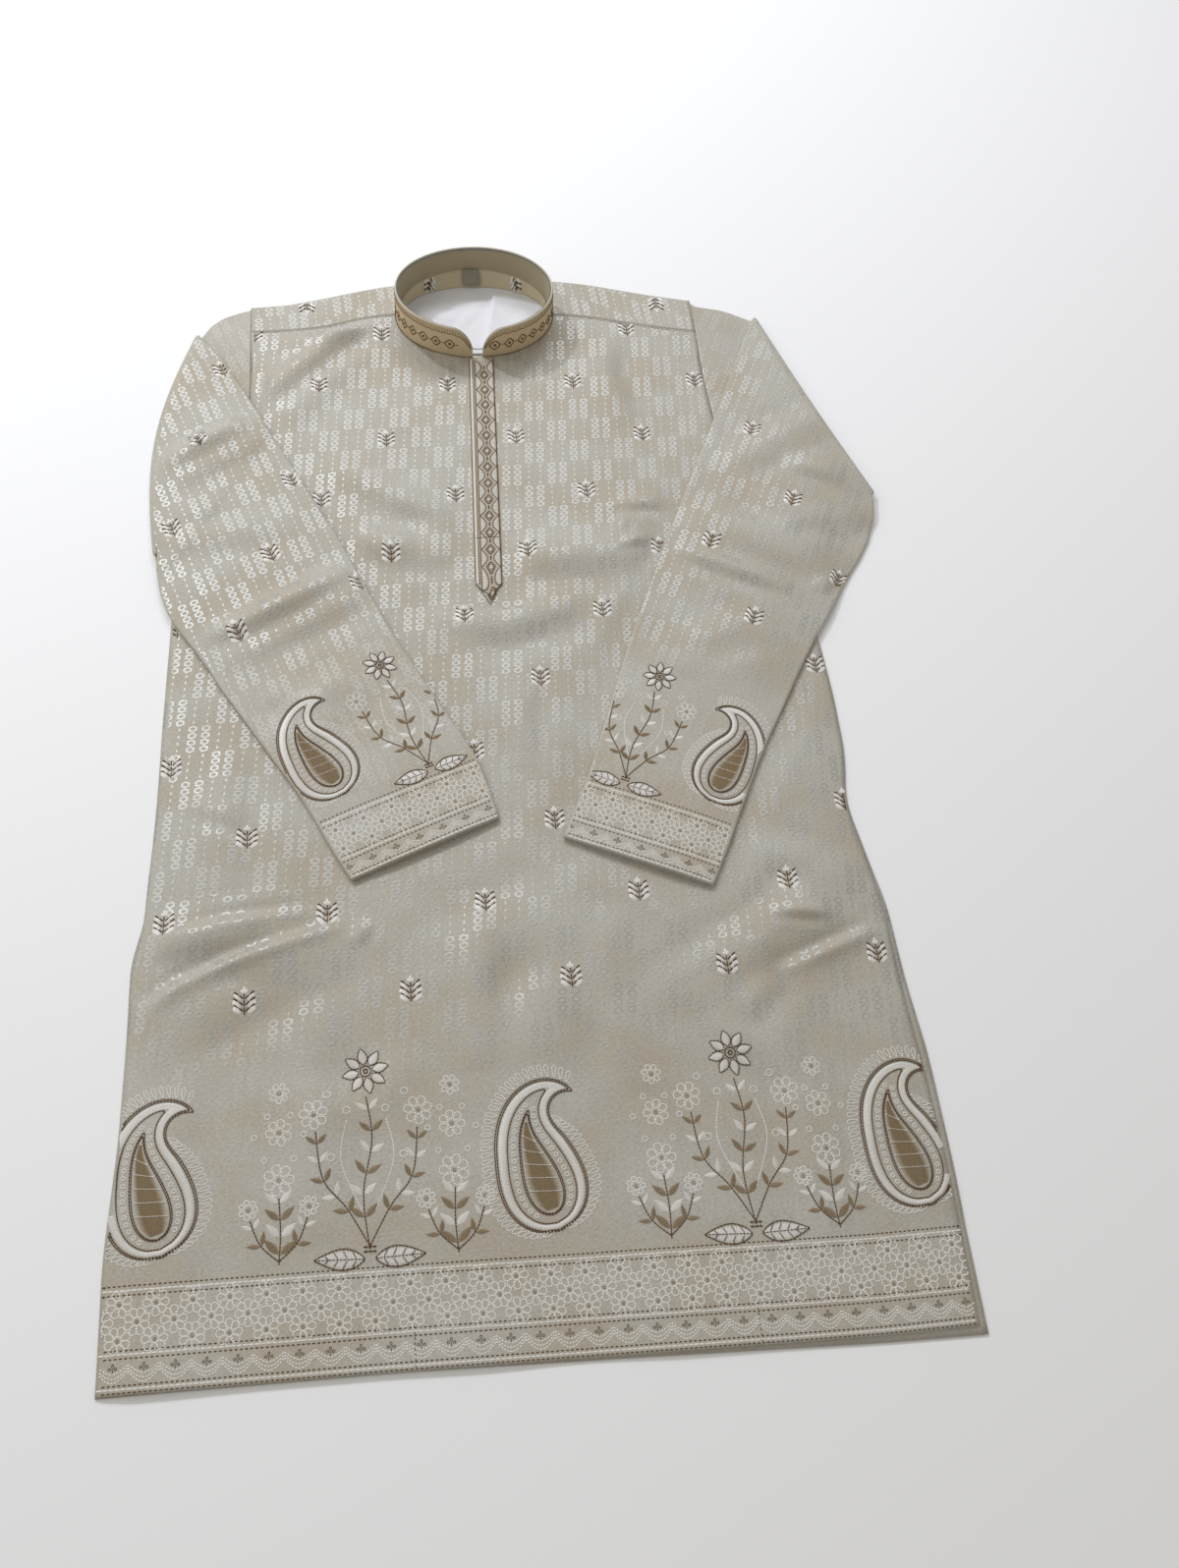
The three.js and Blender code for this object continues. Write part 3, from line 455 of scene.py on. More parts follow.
class Sum:
    """A number in a node tree. Each step of a sum written with it adds one node."""

    def __init__(self, tree, output):
        """Starts from a node's output."""
        self.tree, self.output = tree, output

    def step(self, operation, *others):
        """One Math node on this number and others; plain numbers are set on its sockets."""
        made = self.tree.nodes.new("ShaderNodeMath")
        made.operation = operation
        for socket, value in zip(made.inputs, (self, *others)):
            if isinstance(value, Sum):
                self.tree.links.new(value.output, socket)
            else:
                socket.default_value = value
        return Sum(self.tree, made.outputs[0])

    def __add__(self, other):
        """This number and another."""
        return self.step("ADD", other)

    def __mul__(self, other):
        """This number times another."""
        return self.step("MULTIPLY", other)

    def between(self, low, high, start=0.0, end=1.0):
        """Smooth step from `start` at low to `end` at high."""
        numbers = {1: low, 2: high, 3: start, 4: end, "interpolation_type": "SMOOTHSTEP", "clamp": True}
        return Sum(self.tree, node(self.tree, "ShaderNodeMapRange", numbers, {0: self}).outputs[0])


def noise(tree, spot, scale, detail):
    """Noise at a scale, counted from its coordinates."""
    return Sum(tree, node(tree, "ShaderNodeTexNoise", {"Scale": scale, "Detail": detail}, {0: spot}).outputs[0])


def ribs_of(tree, spot, way, scale, distortion, detail):
    """Ribs across a way, a little wavy."""
    settings = {"wave_type": "BANDS", "bands_direction": way, "Scale": scale, "Distortion": distortion,
                "Detail": detail}
    return Sum(tree, node(tree, "ShaderNodeTexWave", settings, {0: spot}).outputs[1])


def two_tones(tree, share, first, second):
    """A colour between two tones."""
    tones = {"data_type": "RGBA", 6: linear(first), 7: linear(second)}
    return node(tree, "ShaderNodeMix", tones, {0: share}).outputs[2]


def surface(tree, shader, colour, relief, strength, deep, values):
    """Sets a colour, a relief `deep` metres high and other values on a shader."""
    tree.links.new(colour, shader.inputs["Base Color"])
    bump = node(tree, "ShaderNodeBump", {"Strength": strength, "Distance": deep}, {"Height": relief})
    tree.links.new(bump.outputs[0], shader.inputs["Normal"])
    for key, value in values.items():
        if isinstance(value, Sum):
            tree.links.new(value.output, shader.inputs[key])
        else:
            shader.inputs[key].default_value = value


def satin_jacquard():
    """Satin jacquard: a warp-faced ground with weft-faced figures. The ground is soft, a little warmer
    here and cooler there, with the flecks of its slubs. The figures are smoother and mirror more, so
    they shine where the window's light glances off them and sink into the ground elsewhere."""
    material, tree, shader = finish_of("satin_jacquard")
    cloth = node(tree, "ShaderNodeUVMap", {"uv_map": "cloth"}).outputs[0]
    parts = node(tree, "ShaderNodeSeparateXYZ", links={0: cloth})
    across, along = Sum(tree, parts.outputs[0]), Sum(tree, parts.outputs[1])
    # blocks of two columns by four cells take hexagons and dots in turn
    block = across.step("DIVIDE", 2.0).step("FLOOR") + along.step("DIVIDE", 4.0).step("FLOOR")
    takes_dots = block.step("FLOORED_MODULO", 2.0)
    x, y = (way.step("FRACT").step("SUBTRACT", 0.5).step("ABSOLUTE") for way in (across, along))
    hexagon_size, dot_size = (4.1, 3.7), (1.0, 1.7)  # half width and half height, in mm
    hex_x, hex_y = x * (COLUMN / hexagon_size[0]), y * (CELL / hexagon_size[1])
    hexagon = hex_x.step("MAXIMUM", hex_x.step("MULTIPLY_ADD", 0.5, hex_y))
    ring = hexagon.between(0.36, 0.50) * hexagon.between(0.84, 1.0, 1.0, 0.0)
    dot_x, dot_y = x * (COLUMN / dot_size[0]), y * (CELL / dot_size[1])
    dot = (dot_x * dot_x + dot_y * dot_y).step("SQRT").between(0.7, 1.1, 1.0, 0.0)
    figure = Sum(tree, node(tree, "ShaderNodeMix", {"data_type": "FLOAT"},
                            {0: takes_dots, 2: ring, 3: dot}).outputs[0])
    # the figured attribute sets the figures' strength: faded near the hem and cuff borders as in the weave, and
    # weakened on the sleeves' first parts as painted shade
    woven = node(tree, "ShaderNodeAttribute", {"attribute_name": "figured"})
    figure *= Sum(tree, woven.outputs["Fac"])
    # threads: fine ribs along the weft, slubs that fleck the colour, and slow patches of tone
    ribs = ribs_of(tree, cloth, "Y", 3.0, 0.6, 1.0)
    slub, tone = noise(tree, cloth, 4.0, 3.0), noise(tree, cloth, 0.11, 2.0)
    ground = two_tones(tree, tone.between(0.3, 0.7), "bbb9b1", "b4ad9f")
    colour = node(tree, "ShaderNodeMix", {"data_type": "RGBA", 7: linear("b6b6b1")}, {0: figure, 6: ground})
    fleck = node(tree, "ShaderNodeMix", {"data_type": "RGBA", "blend_type": "OVERLAY", 0: 0.3},
                 {6: colour.outputs[2], 7: slub})
    relief = figure * 0.5 + (ribs * 0.18 + slub * 0.22)
    surface(tree, shader, fleck.outputs[2], relief, 0.35, 0.0006,
            {"Roughness": figure.step("MULTIPLY_ADD", -0.26, 0.62), "Metallic": figure * 0.37,
             "Specular IOR Level": 0.3, "Sheen Weight": 0.05})
    return material


RIB_SCALE = 15.7  # of a wave texture with one rib to a mm, where the coordinates are in cm


def ribbed_cloth(name, light, dark, rib, strength, rough):
    """Plain woven cloth: fine ribs, `rib` mm apart, mottled between two tones; matt, so that it stays
    quiet beside the satin."""
    material, tree, shader = finish_of(name)
    spot = node(tree, "ShaderNodeTexCoord").outputs
    ribs = ribs_of(tree, spot["UV"], "X", RIB_SCALE / rib, 1.4, 2.0)
    fibre, blotch = noise(tree, spot["Object"], 900.0, 3.0), noise(tree, spot["Object"], 45.0, 2.0)
    share = ribs.step("MULTIPLY_ADD", 0.4, blotch * 0.6)
    height = ribs.step("MULTIPLY_ADD", 0.6, fibre)
    surface(tree, shader, two_tones(tree, share, light, dark), height, strength, 0.0004,
            {"Roughness": rough, "Sheen Weight": 0.15})
    return material


def thread(name, light, dark, rough, gloss=0.6):
    """Embroidery thread: twisted viscose. The twist breaks its light up; `gloss` says how bright its
    glints are, high for the white thread and low for the brown."""
    material, tree, shader = finish_of(name)
    twist = noise(tree, node(tree, "ShaderNodeTexCoord").outputs["Object"], 700.0, 2.0)
    surface(tree, shader, two_tones(tree, twist, dark, light), twist, 0.4, 0.0003,
            {"Roughness": rough, "Specular IOR Level": gloss})
    return material


JACQUARD = satin_jacquard()
# the band is the warmest cloth and frames the neck
COLLAR_CLOTH = ribbed_cloth("tan_satin_band", "e3d0ac", "d3be98", 1.0, 0.3, 0.6)
# greyer and duller than the band, so that the inside recedes
FACING_CLOTH = ribbed_cloth("plain_facing_cloth", "c0b598", "aea387", 1.3, 0.5, 0.75)
# a paler crescent between the band and the lining
CREAM_CLOTH = ribbed_cloth("cream_neck_facing", "d8cfb5", "cbc1a6", 1.1, 0.4, 0.7)
# the ground that sets off the strip's white and brown stitches
STRIP_CLOTH = ribbed_cloth("embroidered_strip_ground", "c3bcad", "b0a897", 0.8, 0.4, 0.6)
# cool and almost white: the brightest spot of the garment
LINING_CLOTH = ribbed_cloth("white_lining", "eff1f7", "e2e4ec", 0.7, 0.2, 0.8)
# a small dull square
TAB_CLOTH = ribbed_cloth("grey_woven_tape", "b4b0a5", "959087", 0.9, 0.6, 0.7)
THREADS = {
    "white": thread("white_thread", "f2f1ee", "dddbd6", 0.36),  # glints on leaves, petals and loops
    "brown": thread("brown_thread", "775c43", "4b3827", 0.65, 0.2),  # dull lines that draw the figures
    "tan": thread("tan_thread", "a08c6c", "7c694f", 0.5, 0.4)}  # fills between the two
# a dark fine line inside the band's rim, and a pale cord along it
EDGE_THREAD = thread("blue_grey_edging", "747b84", "565d66", 0.5)
CREAM_EDGE = thread("cream_piping", "cfc7b2", "b9b099", 0.5)


# ------------------------------------------------------------------ body panels
NECK_CLEAR = 0.8  # between the panels' neck edge and the band


def column_places():
    """x of the columns at the shoulder: even over the shoulders, even in angle round the neck."""
    reach = NECK_A + NECK_CLEAR
    left = np.linspace(SHOULDER_LEFT, NECK_X - reach, 36)[:-1]
    neck = NECK_X + reach * np.sin(np.linspace(-np.pi / 2, np.pi / 2, 61))
    right = np.linspace(NECK_X + reach, SHOULDER_RIGHT, 36)[1:]
    return np.concatenate([left, neck, right])


COLUMNS = column_places()
SHARES = (COLUMNS - SHOULDER_LEFT) / (SHOULDER_RIGHT - SHOULDER_LEFT)
IN_NECK = abs(COLUMNS - NECK_X) < NECK_A + NECK_CLEAR - 0.01


def body_x(share, y):
    """x at a share of the width, at height y on the body."""
    return mix(side_x(-1, y), side_x(1, y), share)


def neck_y(x, end, clearance):
    """y of the neck's ellipse at its back (+1) or front (-1) for an x."""
    across = np.clip(abs(x - NECK_X) / (NECK_A + clearance), 0, 1)
    return NECK_Y + end * (NECK_B + clearance) * np.sqrt(1 - across ** 2)


def figured_share(up, bands, fading):
    """How strongly the cloth's figures show at a distance up from an edge: not in the bands, faintly
    behind the border, fully above it."""
    return fade(up, bands, 6) * mix(0.55, 1.0, fade(up, 190, fading))


def front_panel():
    """Grid: across by column, along from the hem to the shoulder seam or the neck; height from
    front_top."""
    top = seam_y(COLUMNS) - GAP
    top = np.where(IN_NECK, np.minimum(neck_y(COLUMNS, -1, NECK_CLEAR), top), top)
    up = np.linspace(0, 1, 350)[:, None]
    nominal = mix(-890.0, top[None], up)
    y = mix(front_hem(body_x(SHARES[None], nominal)), top[None], up)
    x = body_x(SHARES[None], y)
    figured = figured_share(y - front_hem(x), 70, 60)
    return cloth_sheet("front_cloth", np.dstack([x, y, front_top(x, y)]), JACQUARD, CLOTH,
                       uv=grain(np.dstack([x, y]), BODY_GRAIN), figured=figured)


def back_path():
    """For each column: where the roll starts, how far it turns and how far it runs forward."""
    from_middle = abs(COLUMNS - NECK_X)
    turn = np.pi * mix(0.03, 1.0, fade(from_middle, 34, 23))
    fold = look(SHOULDER, COLUMNS, 1, FOLD_BLUR)
    start = np.where(IN_NECK, np.maximum(fold, neck_y(COLUMNS, 1, 2.2)), fold) - ROLL
    seam = seam_y(COLUMNS)
    edge = np.where(IN_NECK, np.maximum(neck_y(COLUMNS, 1, NECK_CLEAR), seam), seam)
    run = np.where(from_middle >= 57, np.maximum(0.6, start - edge), 0.6)
    return start, turn, run


def back_panel():
    """The outer face of the back: flat from the hem, round the roll, forward to the seams. The middle
    of the cloth follows that path, and the face stands half its thickness outwards."""
    start, turn, run = back_path()
    flat_rows, roll_rows, forward_rows = 110, 14, 12
    hem = look(HEM, body_x(SHARES, -850.0), 2, HEM_BLUR)
    flat_y = mix(hem[None], start[None], np.linspace(0, 1, flat_rows)[:, None])
    peek = look(BACK_PEEK, flat_y, 2) * fade(SHARES[None], 0.9, 0.1)
    flat_x = body_x(SHARES[None], flat_y) + peek
    out = CLOTH / 2
    middle = out + OFF_FLOOR
    tilt = turn[None] * np.linspace(0, 1, roll_rows + 1)[1:, None]
    roll_y = start[None] + ROLL * np.sin(tilt)
    roll_z = middle + ROLL * (1 - np.cos(tilt))
    ahead = np.linspace(0, 1, forward_rows + 1)[1:, None] * run[None]
    x = np.vstack([flat_x, np.repeat(COLUMNS[None], roll_rows + forward_rows, 0)])
    y = np.vstack([flat_y, roll_y, roll_y[-1:] + ahead * np.cos(turn[None])])
    z = np.vstack([np.full(flat_x.shape, middle), roll_z, roll_z[-1:] + ahead * np.sin(turn[None])])
    tilt = np.vstack([np.zeros(flat_x.shape), tilt, np.repeat(turn[None], forward_rows, 0)])
    points = np.stack([x, y + out * np.sin(tilt), z - out * np.cos(tilt)], -1)
    # cloth coordinates run on round the roll
    length = np.vstack([0 * hem[None], np.cumsum(np.hypot(np.diff(y, axis=0), np.diff(z, axis=0)), 0)])
    unrolled = np.dstack([x, length + hem[None]])
    figured = figured_share(unrolled[..., 1] - front_hem(x), 70, 60)
    return cloth_sheet("back_cloth", points, JACQUARD, CLOTH, True, grain(unrolled, BODY_GRAIN), figured)


# ------------------------------------------------------------------ sleeves
def resample(rows, count):
    """Sections spread evenly along a sleeve: each column of the table softened and read at even
    distances of the section's middle."""
    along = run_along((rows[:, :2] + rows[:, 2:4]) / 2)
    at = np.linspace(0, along[-1], count)
    blur = np.minimum(16.0, np.minimum(at, along[-1] - at))
    steps = np.linspace(-1, 1, 7)
    return np.stack([sum(np.interp(at + s * blur, along, rows[:, c]) for s in steps) / len(steps)
                     for c in range(rows.shape[1])], 1)


def section_points(section, shares):
    """Points across a section: straight from fold to fold, bowed by a sine; and its outward way."""
    over, under, bow = section[:, None, :2], section[:, None, 2:4], section[:, None, 4:5]
    across = under - over
    width = np.linalg.norm(across, axis=-1, keepdims=True)
    outward = np.concatenate([across[..., 1:], -across[..., :1]], -1) / width
    return over + across * shares[None, :, None] + outward * bow * np.sin(np.pi * shares)[None, :, None], outward


def sleeve(side, name):
    """A flattened tube: rings of one ply from the overarm to the underarm fold and back under it. The
    rings start at the armhole, swing round the turn and run on over the front to the cuff."""
    over_rows = resample(SLEEVE_OVER[side], 130)
    head_rows = resample(SLEEVE_HEAD[side], 14)
    # points across a ply crowd at both folds
    edge = SLEEVE_ROUND * (1 - np.cos(np.linspace(0, np.pi / 2, 5))) / SLEEVE_WIDE
    shares = np.concatenate([edge, np.linspace(0.028, 0.972, 44), 1 - edge[::-1]])
    both = np.concatenate([shares, shares[1:-1][::-1]])
    upper_ply = np.arange(len(both)) < len(shares)
    sign = np.where(upper_ply, 1.0, -1.0)
    tip = rounded(np.minimum(both, 1 - both) * SLEEVE_WIDE, SLEEVE_ROUND)
    half, radius = STACK / 2, OVER_SLEEVE / 2

    # the first part: its first ring follows the armhole, and it dips beside the fold that lies on it
    seam_gap, armhole_top, inside_seam, dip_reach, fitted_rings = 0.35, 104, 4.0, 34, 6.0
    head, outward = section_points(head_rows, both)
    outward = outward * np.sign(outward[..., :1] * side)
    fit = fade(-np.arange(len(head))[:, None], -fitted_rings, fitted_rings)
    armhole = side_x(side, head[..., 1], 6) + side * seam_gap
    head[..., 0] = mix(head[..., 0], armhole, fit * (head[..., 1] < armhole_top))
    beside_body = np.where(fit > 0, front_top(armhole - side * inside_seam, head[..., 1]), STACK)
    to_fold = near_path(SLEEVE_OVER[side][:6, :2], head[..., 0], head[..., 1])
    upper = mix(STACK - HEAD_DIP * ease(1 - to_fold / dip_reach), beside_body, fit)
    head_z = half + tip * np.where(upper_ply, -half, upper - half)
    first = np.dstack([head, np.broadcast_to(head_z, head.shape[:2])])

    # the turn: half a circle, with both plies round it
    turning = []
    for tilt in np.linspace(0, np.pi, 13)[1:-1]:
        away = sign * tip * half
        swing = (radius + away) * math.sin(tilt)
        z = half + radius * (1 - math.cos(tilt)) - away * math.cos(tilt)
        turning.append(np.column_stack([head[-1] + outward[-1] * swing[:, None], z]))

    body, _ = section_points(over_rows, both)
    x, y = body[..., 0], body[..., 1]
    z = np.where(upper_ply, sleeve_top(side, x, y), sleeve_top(side, x, y, hidden=True))
    rings = np.vstack([first, np.array(turning), np.dstack([x, y, z])])
    figured = figured_share(cuff_distance(side, rings[..., 0], rings[..., 1]), 60, 40)
    # the first part's figures are weakened as painted shade, not because the cloth differs there
    figured[:len(first)] *= HEAD_FIGURES_PAINTED_SHADE[side]
    return cloth_sheet(name, rings, JACQUARD, CLOTH, side > 0, grain(rings, SLEEVE_GRAIN[side]), figured, True)


def cuff_frame(side):
    """Middle of the cuff edge, the way across it from the overarm to the underarm fold, and the way up
    the sleeve."""
    over, under = SLEEVE_OVER[side][-1][:2], SLEEVE_OVER[side][-1][2:4]
    across = (under - over) / np.linalg.norm(under - over)
    up = np.array([across[1], -across[0]])
    return (over + under) / 2, across, up * np.sign(up[1])


def cuff_distance(side, x, y):
    """Distance up the sleeve from the cuff edge."""
    middle, _, up = cuff_frame(side)
    return (x - middle[0]) * up[0] + (y - middle[1]) * up[1]


# ------------------------------------------------------------------ collar
COLLAR_START = math.asin((COLLAR_GAP[1] - NECK_X) / NECK_A)
COLLAR_SWEEP = 2 * math.pi - (COLLAR_START - math.asin((COLLAR_GAP[0] - NECK_X) / NECK_A))


def collar_height(along):
    """Height of the band at a turn `along` from its end: rounded at both front corners."""
    from_end = np.minimum(along, COLLAR_SWEEP - along) * NECK_A
    return mix(COLLAR_FRONT_HEIGHT, COLLAR_HEIGHT, rounded(from_end, COLLAR_CORNER))


def collar_point(along, height, inset):
    """A point of the band: an ellipse that leans and narrows a little as it rises; its two ends draw
    together at the foot. `height` is in mm above the foot, `inset` inwards from the outer face."""
    up = height / COLLAR_HEIGHT
    drawn = [ease(1 - way * NECK_A / COLLAR_CLOSING_REACH) for way in (along, COLLAR_SWEEP - along)]
    angle = COLLAR_START + along + (drawn[1] - drawn[0]) * COLLAR_CLOSING / NECK_A * (1 - up)
    wave = 0.5 * np.sin(3 * angle + 0.7) * up
    a = mix(NECK_A, COLLAR_TOP_A, up) - inset + wave
    b = mix(NECK_B, COLLAR_TOP_B, up) - inset + wave
    return np.stack([NECK_X + a * np.sin(angle), NECK_Y + COLLAR_LEAN * up - b * np.cos(angle),
                     COLLAR_FOOT + height + 0 * angle], -1)


def collar_wall(name, inset, shorter, material, outward):
    """One wall of the band: round by even turns with more at the front corners, up in even steps."""
    corner = (COLLAR_CORNER + 4) / NECK_A
    ends = np.linspace(0, 1, 15)[:-1] ** 1.5 * corner
    along = np.concatenate([ends, np.linspace(corner, COLLAR_SWEEP - corner, 150), COLLAR_SWEEP - ends[::-1]])
    height = (collar_height(along) - shorter)[None] * np.linspace(0, 1, 14)[:, None]
    turn = np.repeat(along[None], len(height), 0)
    uv = np.stack([turn * NECK_A / 10, height / 10], -1)
    return cloth_sheet(name, collar_point(turn, height, inset), material, 1.0, not outward, uv)


def rail(name, points, radius, material):
    """A thin cord along a path: six-sided circles set square to it."""
    sides = 6
    ahead = np.gradient(points, axis=0)
    ahead /= np.linalg.norm(ahead, axis=1, keepdims=True)
    across = np.cross(ahead, [0, 0, 1.0])
    across /= np.linalg.norm(across, axis=1, keepdims=True) + 1e-9
    up = np.cross(across, ahead)
    angle = np.linspace(0, 2 * np.pi, sides, endpoint=False)[None, :, None]
    grid = points[:, None] + (across[:, None] * np.cos(angle) + up[:, None] * np.sin(angle)) * radius
    return make_piece(name, grid.reshape(-1, 3), grid_faces(len(points), sides, close=True)[:, ::-1], material)


# ------------------------------------------------------------------ neck
LINING_INSET = 5.5  # from the band's outline
FACING_INSET = 4


def lining():
    """White lining on the inside of the back: an oval with soft creases, and one fold that starts
    steeply and runs out slowly to its right."""
    v = np.linspace(-0.985, 0.985, 50)[:, None]
    u = np.linspace(-1, 1, 70)[None]
    a, b = NECK_A - LINING_INSET, NECK_B - LINING_INSET
    x = NECK_X + a * u * np.sqrt(1 - (v * 0.98) ** 2)
    y = NECK_Y - 1 + b * v + 0 * u
    edge = np.clip(1 - np.hypot((x - NECK_X) / a, (y - NECK_Y) / b), 0, 1)
    creases = [(-50, 96, -6, 88, 12, 0.9), (-20, 70, 6, 108, 9, 0.8), (40, 78, 62, 96, 10, 0.7)]
    beside = x - (13.0 + 0.19 * (y - 62))
    fold = 3.4 * np.where(beside > 0, np.exp(-np.maximum(beside, 0) / 20), ease(1 + beside / 4))
    fold *= fade(-y, 19 - NECK_Y - NECK_B, 14)
    z = 2.5 + (crease_height(creases, x, y) + fold + 0.3 * np.sin(x / 8 + y / 13)) * ease(edge * 5)
    return cloth_sheet("lining_cloth", np.stack([x, y, z], -1), LINING_CLOTH, 0.8)


def facing_point(along, down, lift=0.0):
    """A point of the neck facing: `along` in mm round the neck from the middle of the back, `down` in mm
    from the collar seam. The seam edge stands up against the band and the other lies on the lining."""
    angle = along / NECK_A
    share = np.clip(1 - down / facing_depth(along), 0, 1)
    x = NECK_X + (NECK_A - FACING_INSET - 0.35 * down - lift * 0.5) * np.sin(angle)
    y = NECK_Y + (NECK_B - FACING_INSET - down - lift * 0.5) * np.cos(angle)
    return np.stack([x, y, 3.9 + 11.5 * share ** 1.6 * np.cos(angle) ** 0.5 + lift], -1)


def facing_depth(along):
    """Depth of the facing, widest at the middle of the back."""
    return 8.5 * np.sqrt(np.cos(along / NECK_A)) + 4


def neck_facing():
    """A crescent along the back of the neck: even steps round the neck by even steps of its depth."""
    along = np.linspace(-1, 1, 60)[:, None] * FACING_REACH * NECK_A + np.zeros((1, 9))
    down = np.linspace(0, 1, 9)[None] * facing_depth(along)
    return cloth_sheet("neck_facing_cloth", facing_point(along, down), CREAM_CLOTH, 1.0)


def facing_needlework():
    """Two of the cloth's sprigs on the facing, cut off by its seams."""
    work = Needlework()
    for along, angle in ((-52.0, 0.6), (54.0, -0.6)):
        work.add(SPRIG, moved(along, 5.5, angle, 0.8))

    def lay(plan, lift):
        """On the facing."""
        return facing_point(plan[:, 0], plan[:, 1], 0.3) + np.column_stack([lift * 0, lift * 0, lift])

    def on_facing(x, y):
        """Within the facing's seams."""
        return (y > 1.0) & (y < facing_depth(x) - 1.0)

    return work.make("neck_facing_sprigs", lay, on_facing)


def size_tab():
    """A bare woven tab, slightly bowed along its length."""
    u = np.linspace(-0.5, 0.5, 8)[None]
    v = np.linspace(0, 1, 10)[:, None]
    grid = np.stack(np.broadcast_arrays(0.5 + 17 * u, NECK_Y + NECK_B - 6 - 12 * v, 16.6 - 9.0 * v ** 0.8), -1)
    return cloth_sheet("size_tab_tape", grid, TAB_CLOTH, 0.9, flip=True)


def placket_point(across, down):
    """A point of the placket: across -0.5 to 0.5, down 0 at the neck to 1 at the point. It lies on the
    front, with rounded edges."""
    point = PLACKET_POINT * (1 - 2 * abs(across)) * fade(down, 0.93, 0.07)
    y = mix(PLACKET_TOP[1], PLACKET_BOTTOM[1], down) - point
    x = mix(PLACKET_TOP[0], PLACKET_BOTTOM[0], down) + across * PLACKET_WIDTH
    edge = rounded((0.5 - abs(across)) * PLACKET_WIDTH, 1.2)
    return np.stack([x, y, front_top(x, y) + 0.5 + 0.75 * edge], -1)


def placket():
    """The strip on the front opening: more columns at its edges, more rows at its point."""
    across = 0.5 * np.sin(np.linspace(-np.pi / 2, np.pi / 2, 21))[None]
    down = np.concatenate([np.linspace(0, 0.92, 90), np.linspace(0.925, 1, 14)])[:, None]
    grid = placket_point(*np.broadcast_arrays(across, down))
    return cloth_sheet("placket_strip", grid, STRIP_CLOTH, 1.0, flip=True)


# ------------------------------------------------------------------ needlework
class Needlework:
    """Collects stitches in a flat plane and lays them on a surface as small raised lozenges. Every
    stitch has two tips, a belt of four points and a ridge of two."""
    PLAN = ((0, 0), (1, 0), (0.2, 1), (0.8, 1), (0.8, -1), (0.2, -1), (0.25, 0), (0.75, 0))  # along, side
    SUNK = (0.05, 0.05, 0.1, 0.1, 0.1, 0.1)  # how far tips and belt go into the cloth, in mm
    FACES = ((0, 5, 6), (0, 6, 2), (1, 3, 7), (1, 7, 4), (2, 6, 7), (2, 7, 3), (5, 4, 7), (5, 7, 6))

    def __init__(self):
        """Starts with no stitches of any colour."""
        self.rows = {colour: [] for colour in THREADS}

    def stitch(self, colour, start, end, width, height):
        """Single stitches from start points to end points."""
        start, end = np.atleast_2d(start), np.atleast_2d(end)
        size = np.broadcast_to(np.array([width, height], float), (len(start), 2))
        self.rows[colour].append(np.hstack([start, end, size]))

    def line(self, colour, path, stitch, gap=0.0, width=0.8, height=0.45):
        """Running stitches along a path, each `stitch` long with `gap` between; without a gap they
        overlap a little, as a chain does."""
        path = np.asarray(path, float)
        along = run_along(path)
        count = max(1, int(round(along[-1] / (stitch + gap))))
        starts = np.arange(count) * along[-1] / count
        ends = starts + along[-1] / count * stitch / (stitch + gap) + (0.25 if gap == 0 else 0)
        self.stitch(colour, walk(path, starts, along), walk(path, ends, along), width, height)

    def satin(self, colour, left, right, pitch=0.9, width=1.05, height=0.7):
        """Side by side stitches from one edge to the other, `pitch` apart."""
        left, right = np.asarray(left, float), np.asarray(right, float)
        along = run_along((left + right) / 2)
        at = np.arange(pitch / 2, along[-1], pitch)
        a, b = walk(left, at, along), walk(right, at, along)
        keep = np.hypot(*(b - a).T) > 0.5
        self.stitch(colour, a[keep], b[keep], width, height)

    def add(self, other, to_place):
        """Copies another piece of needlework, its ends moved by a function."""
        for colour, rows in other.rows.items():
            for block in rows:
                start, end = to_place(block[:, :2]), to_place(block[:, 2:4])
                self.rows[colour].append(np.hstack([start, end, block[:, 4:]]))

    def make(self, name, lay, keep=None):
        """One mesh for each colour; `lay` puts plan points and lifts on the surface, `keep` says which
        places have cloth for them."""
        made = []
        for colour, material in THREADS.items():
            if not self.rows[colour]:
                continue
            rows = np.vstack(self.rows[colour])
            if keep is not None:
                rows = rows[keep(*((rows[:, :2] + rows[:, 2:4]) / 2).T)]
            start, end, width, height = rows[:, :2], rows[:, 2:4], rows[:, 4:5], rows[:, 5]
            ahead = end - start
            length = np.linalg.norm(ahead, axis=1, keepdims=True) + 1e-9
            side = np.stack([-ahead[:, 1], ahead[:, 0]], 1) / length * width / 2
            corners = np.stack([mix(start, end, t) + side * k for t, k in self.PLAN], 1)
            lift = np.stack([0 * height - sunk for sunk in self.SUNK] + [height, height], 1)
            points = lay(corners.reshape(-1, 2), lift.ravel())
            faces = np.arange(len(rows))[:, None, None] * len(self.PLAN) + np.array(self.FACES)[None]
            made.append(make_piece(f"{name}_{colour}", points, faces.reshape(-1, 3), material))
        return made


def turned(points, angle, about=(0.0, 0.0)):
    """Points turned by an angle and carried to a place."""
    c, s = math.cos(angle), math.sin(angle)
    return np.asarray(points) @ np.array([[c, s], [-s, c]]) + about


def unit(angle):
    """A way of length one."""
    return np.array([math.cos(angle), math.sin(angle)])


def moved(x, y, angle=0.0, scale=1.0):
    """A way to place a figure: scaled, turned and carried to x, y."""
    return lambda points: turned(points * scale, angle, (x, y))


def circle(x, y, radius, steps):
    """A closed ring of points."""
    t = np.linspace(0, 2 * np.pi, steps)
    return np.stack([x + radius * np.cos(t), y + radius * np.sin(t)], 1)


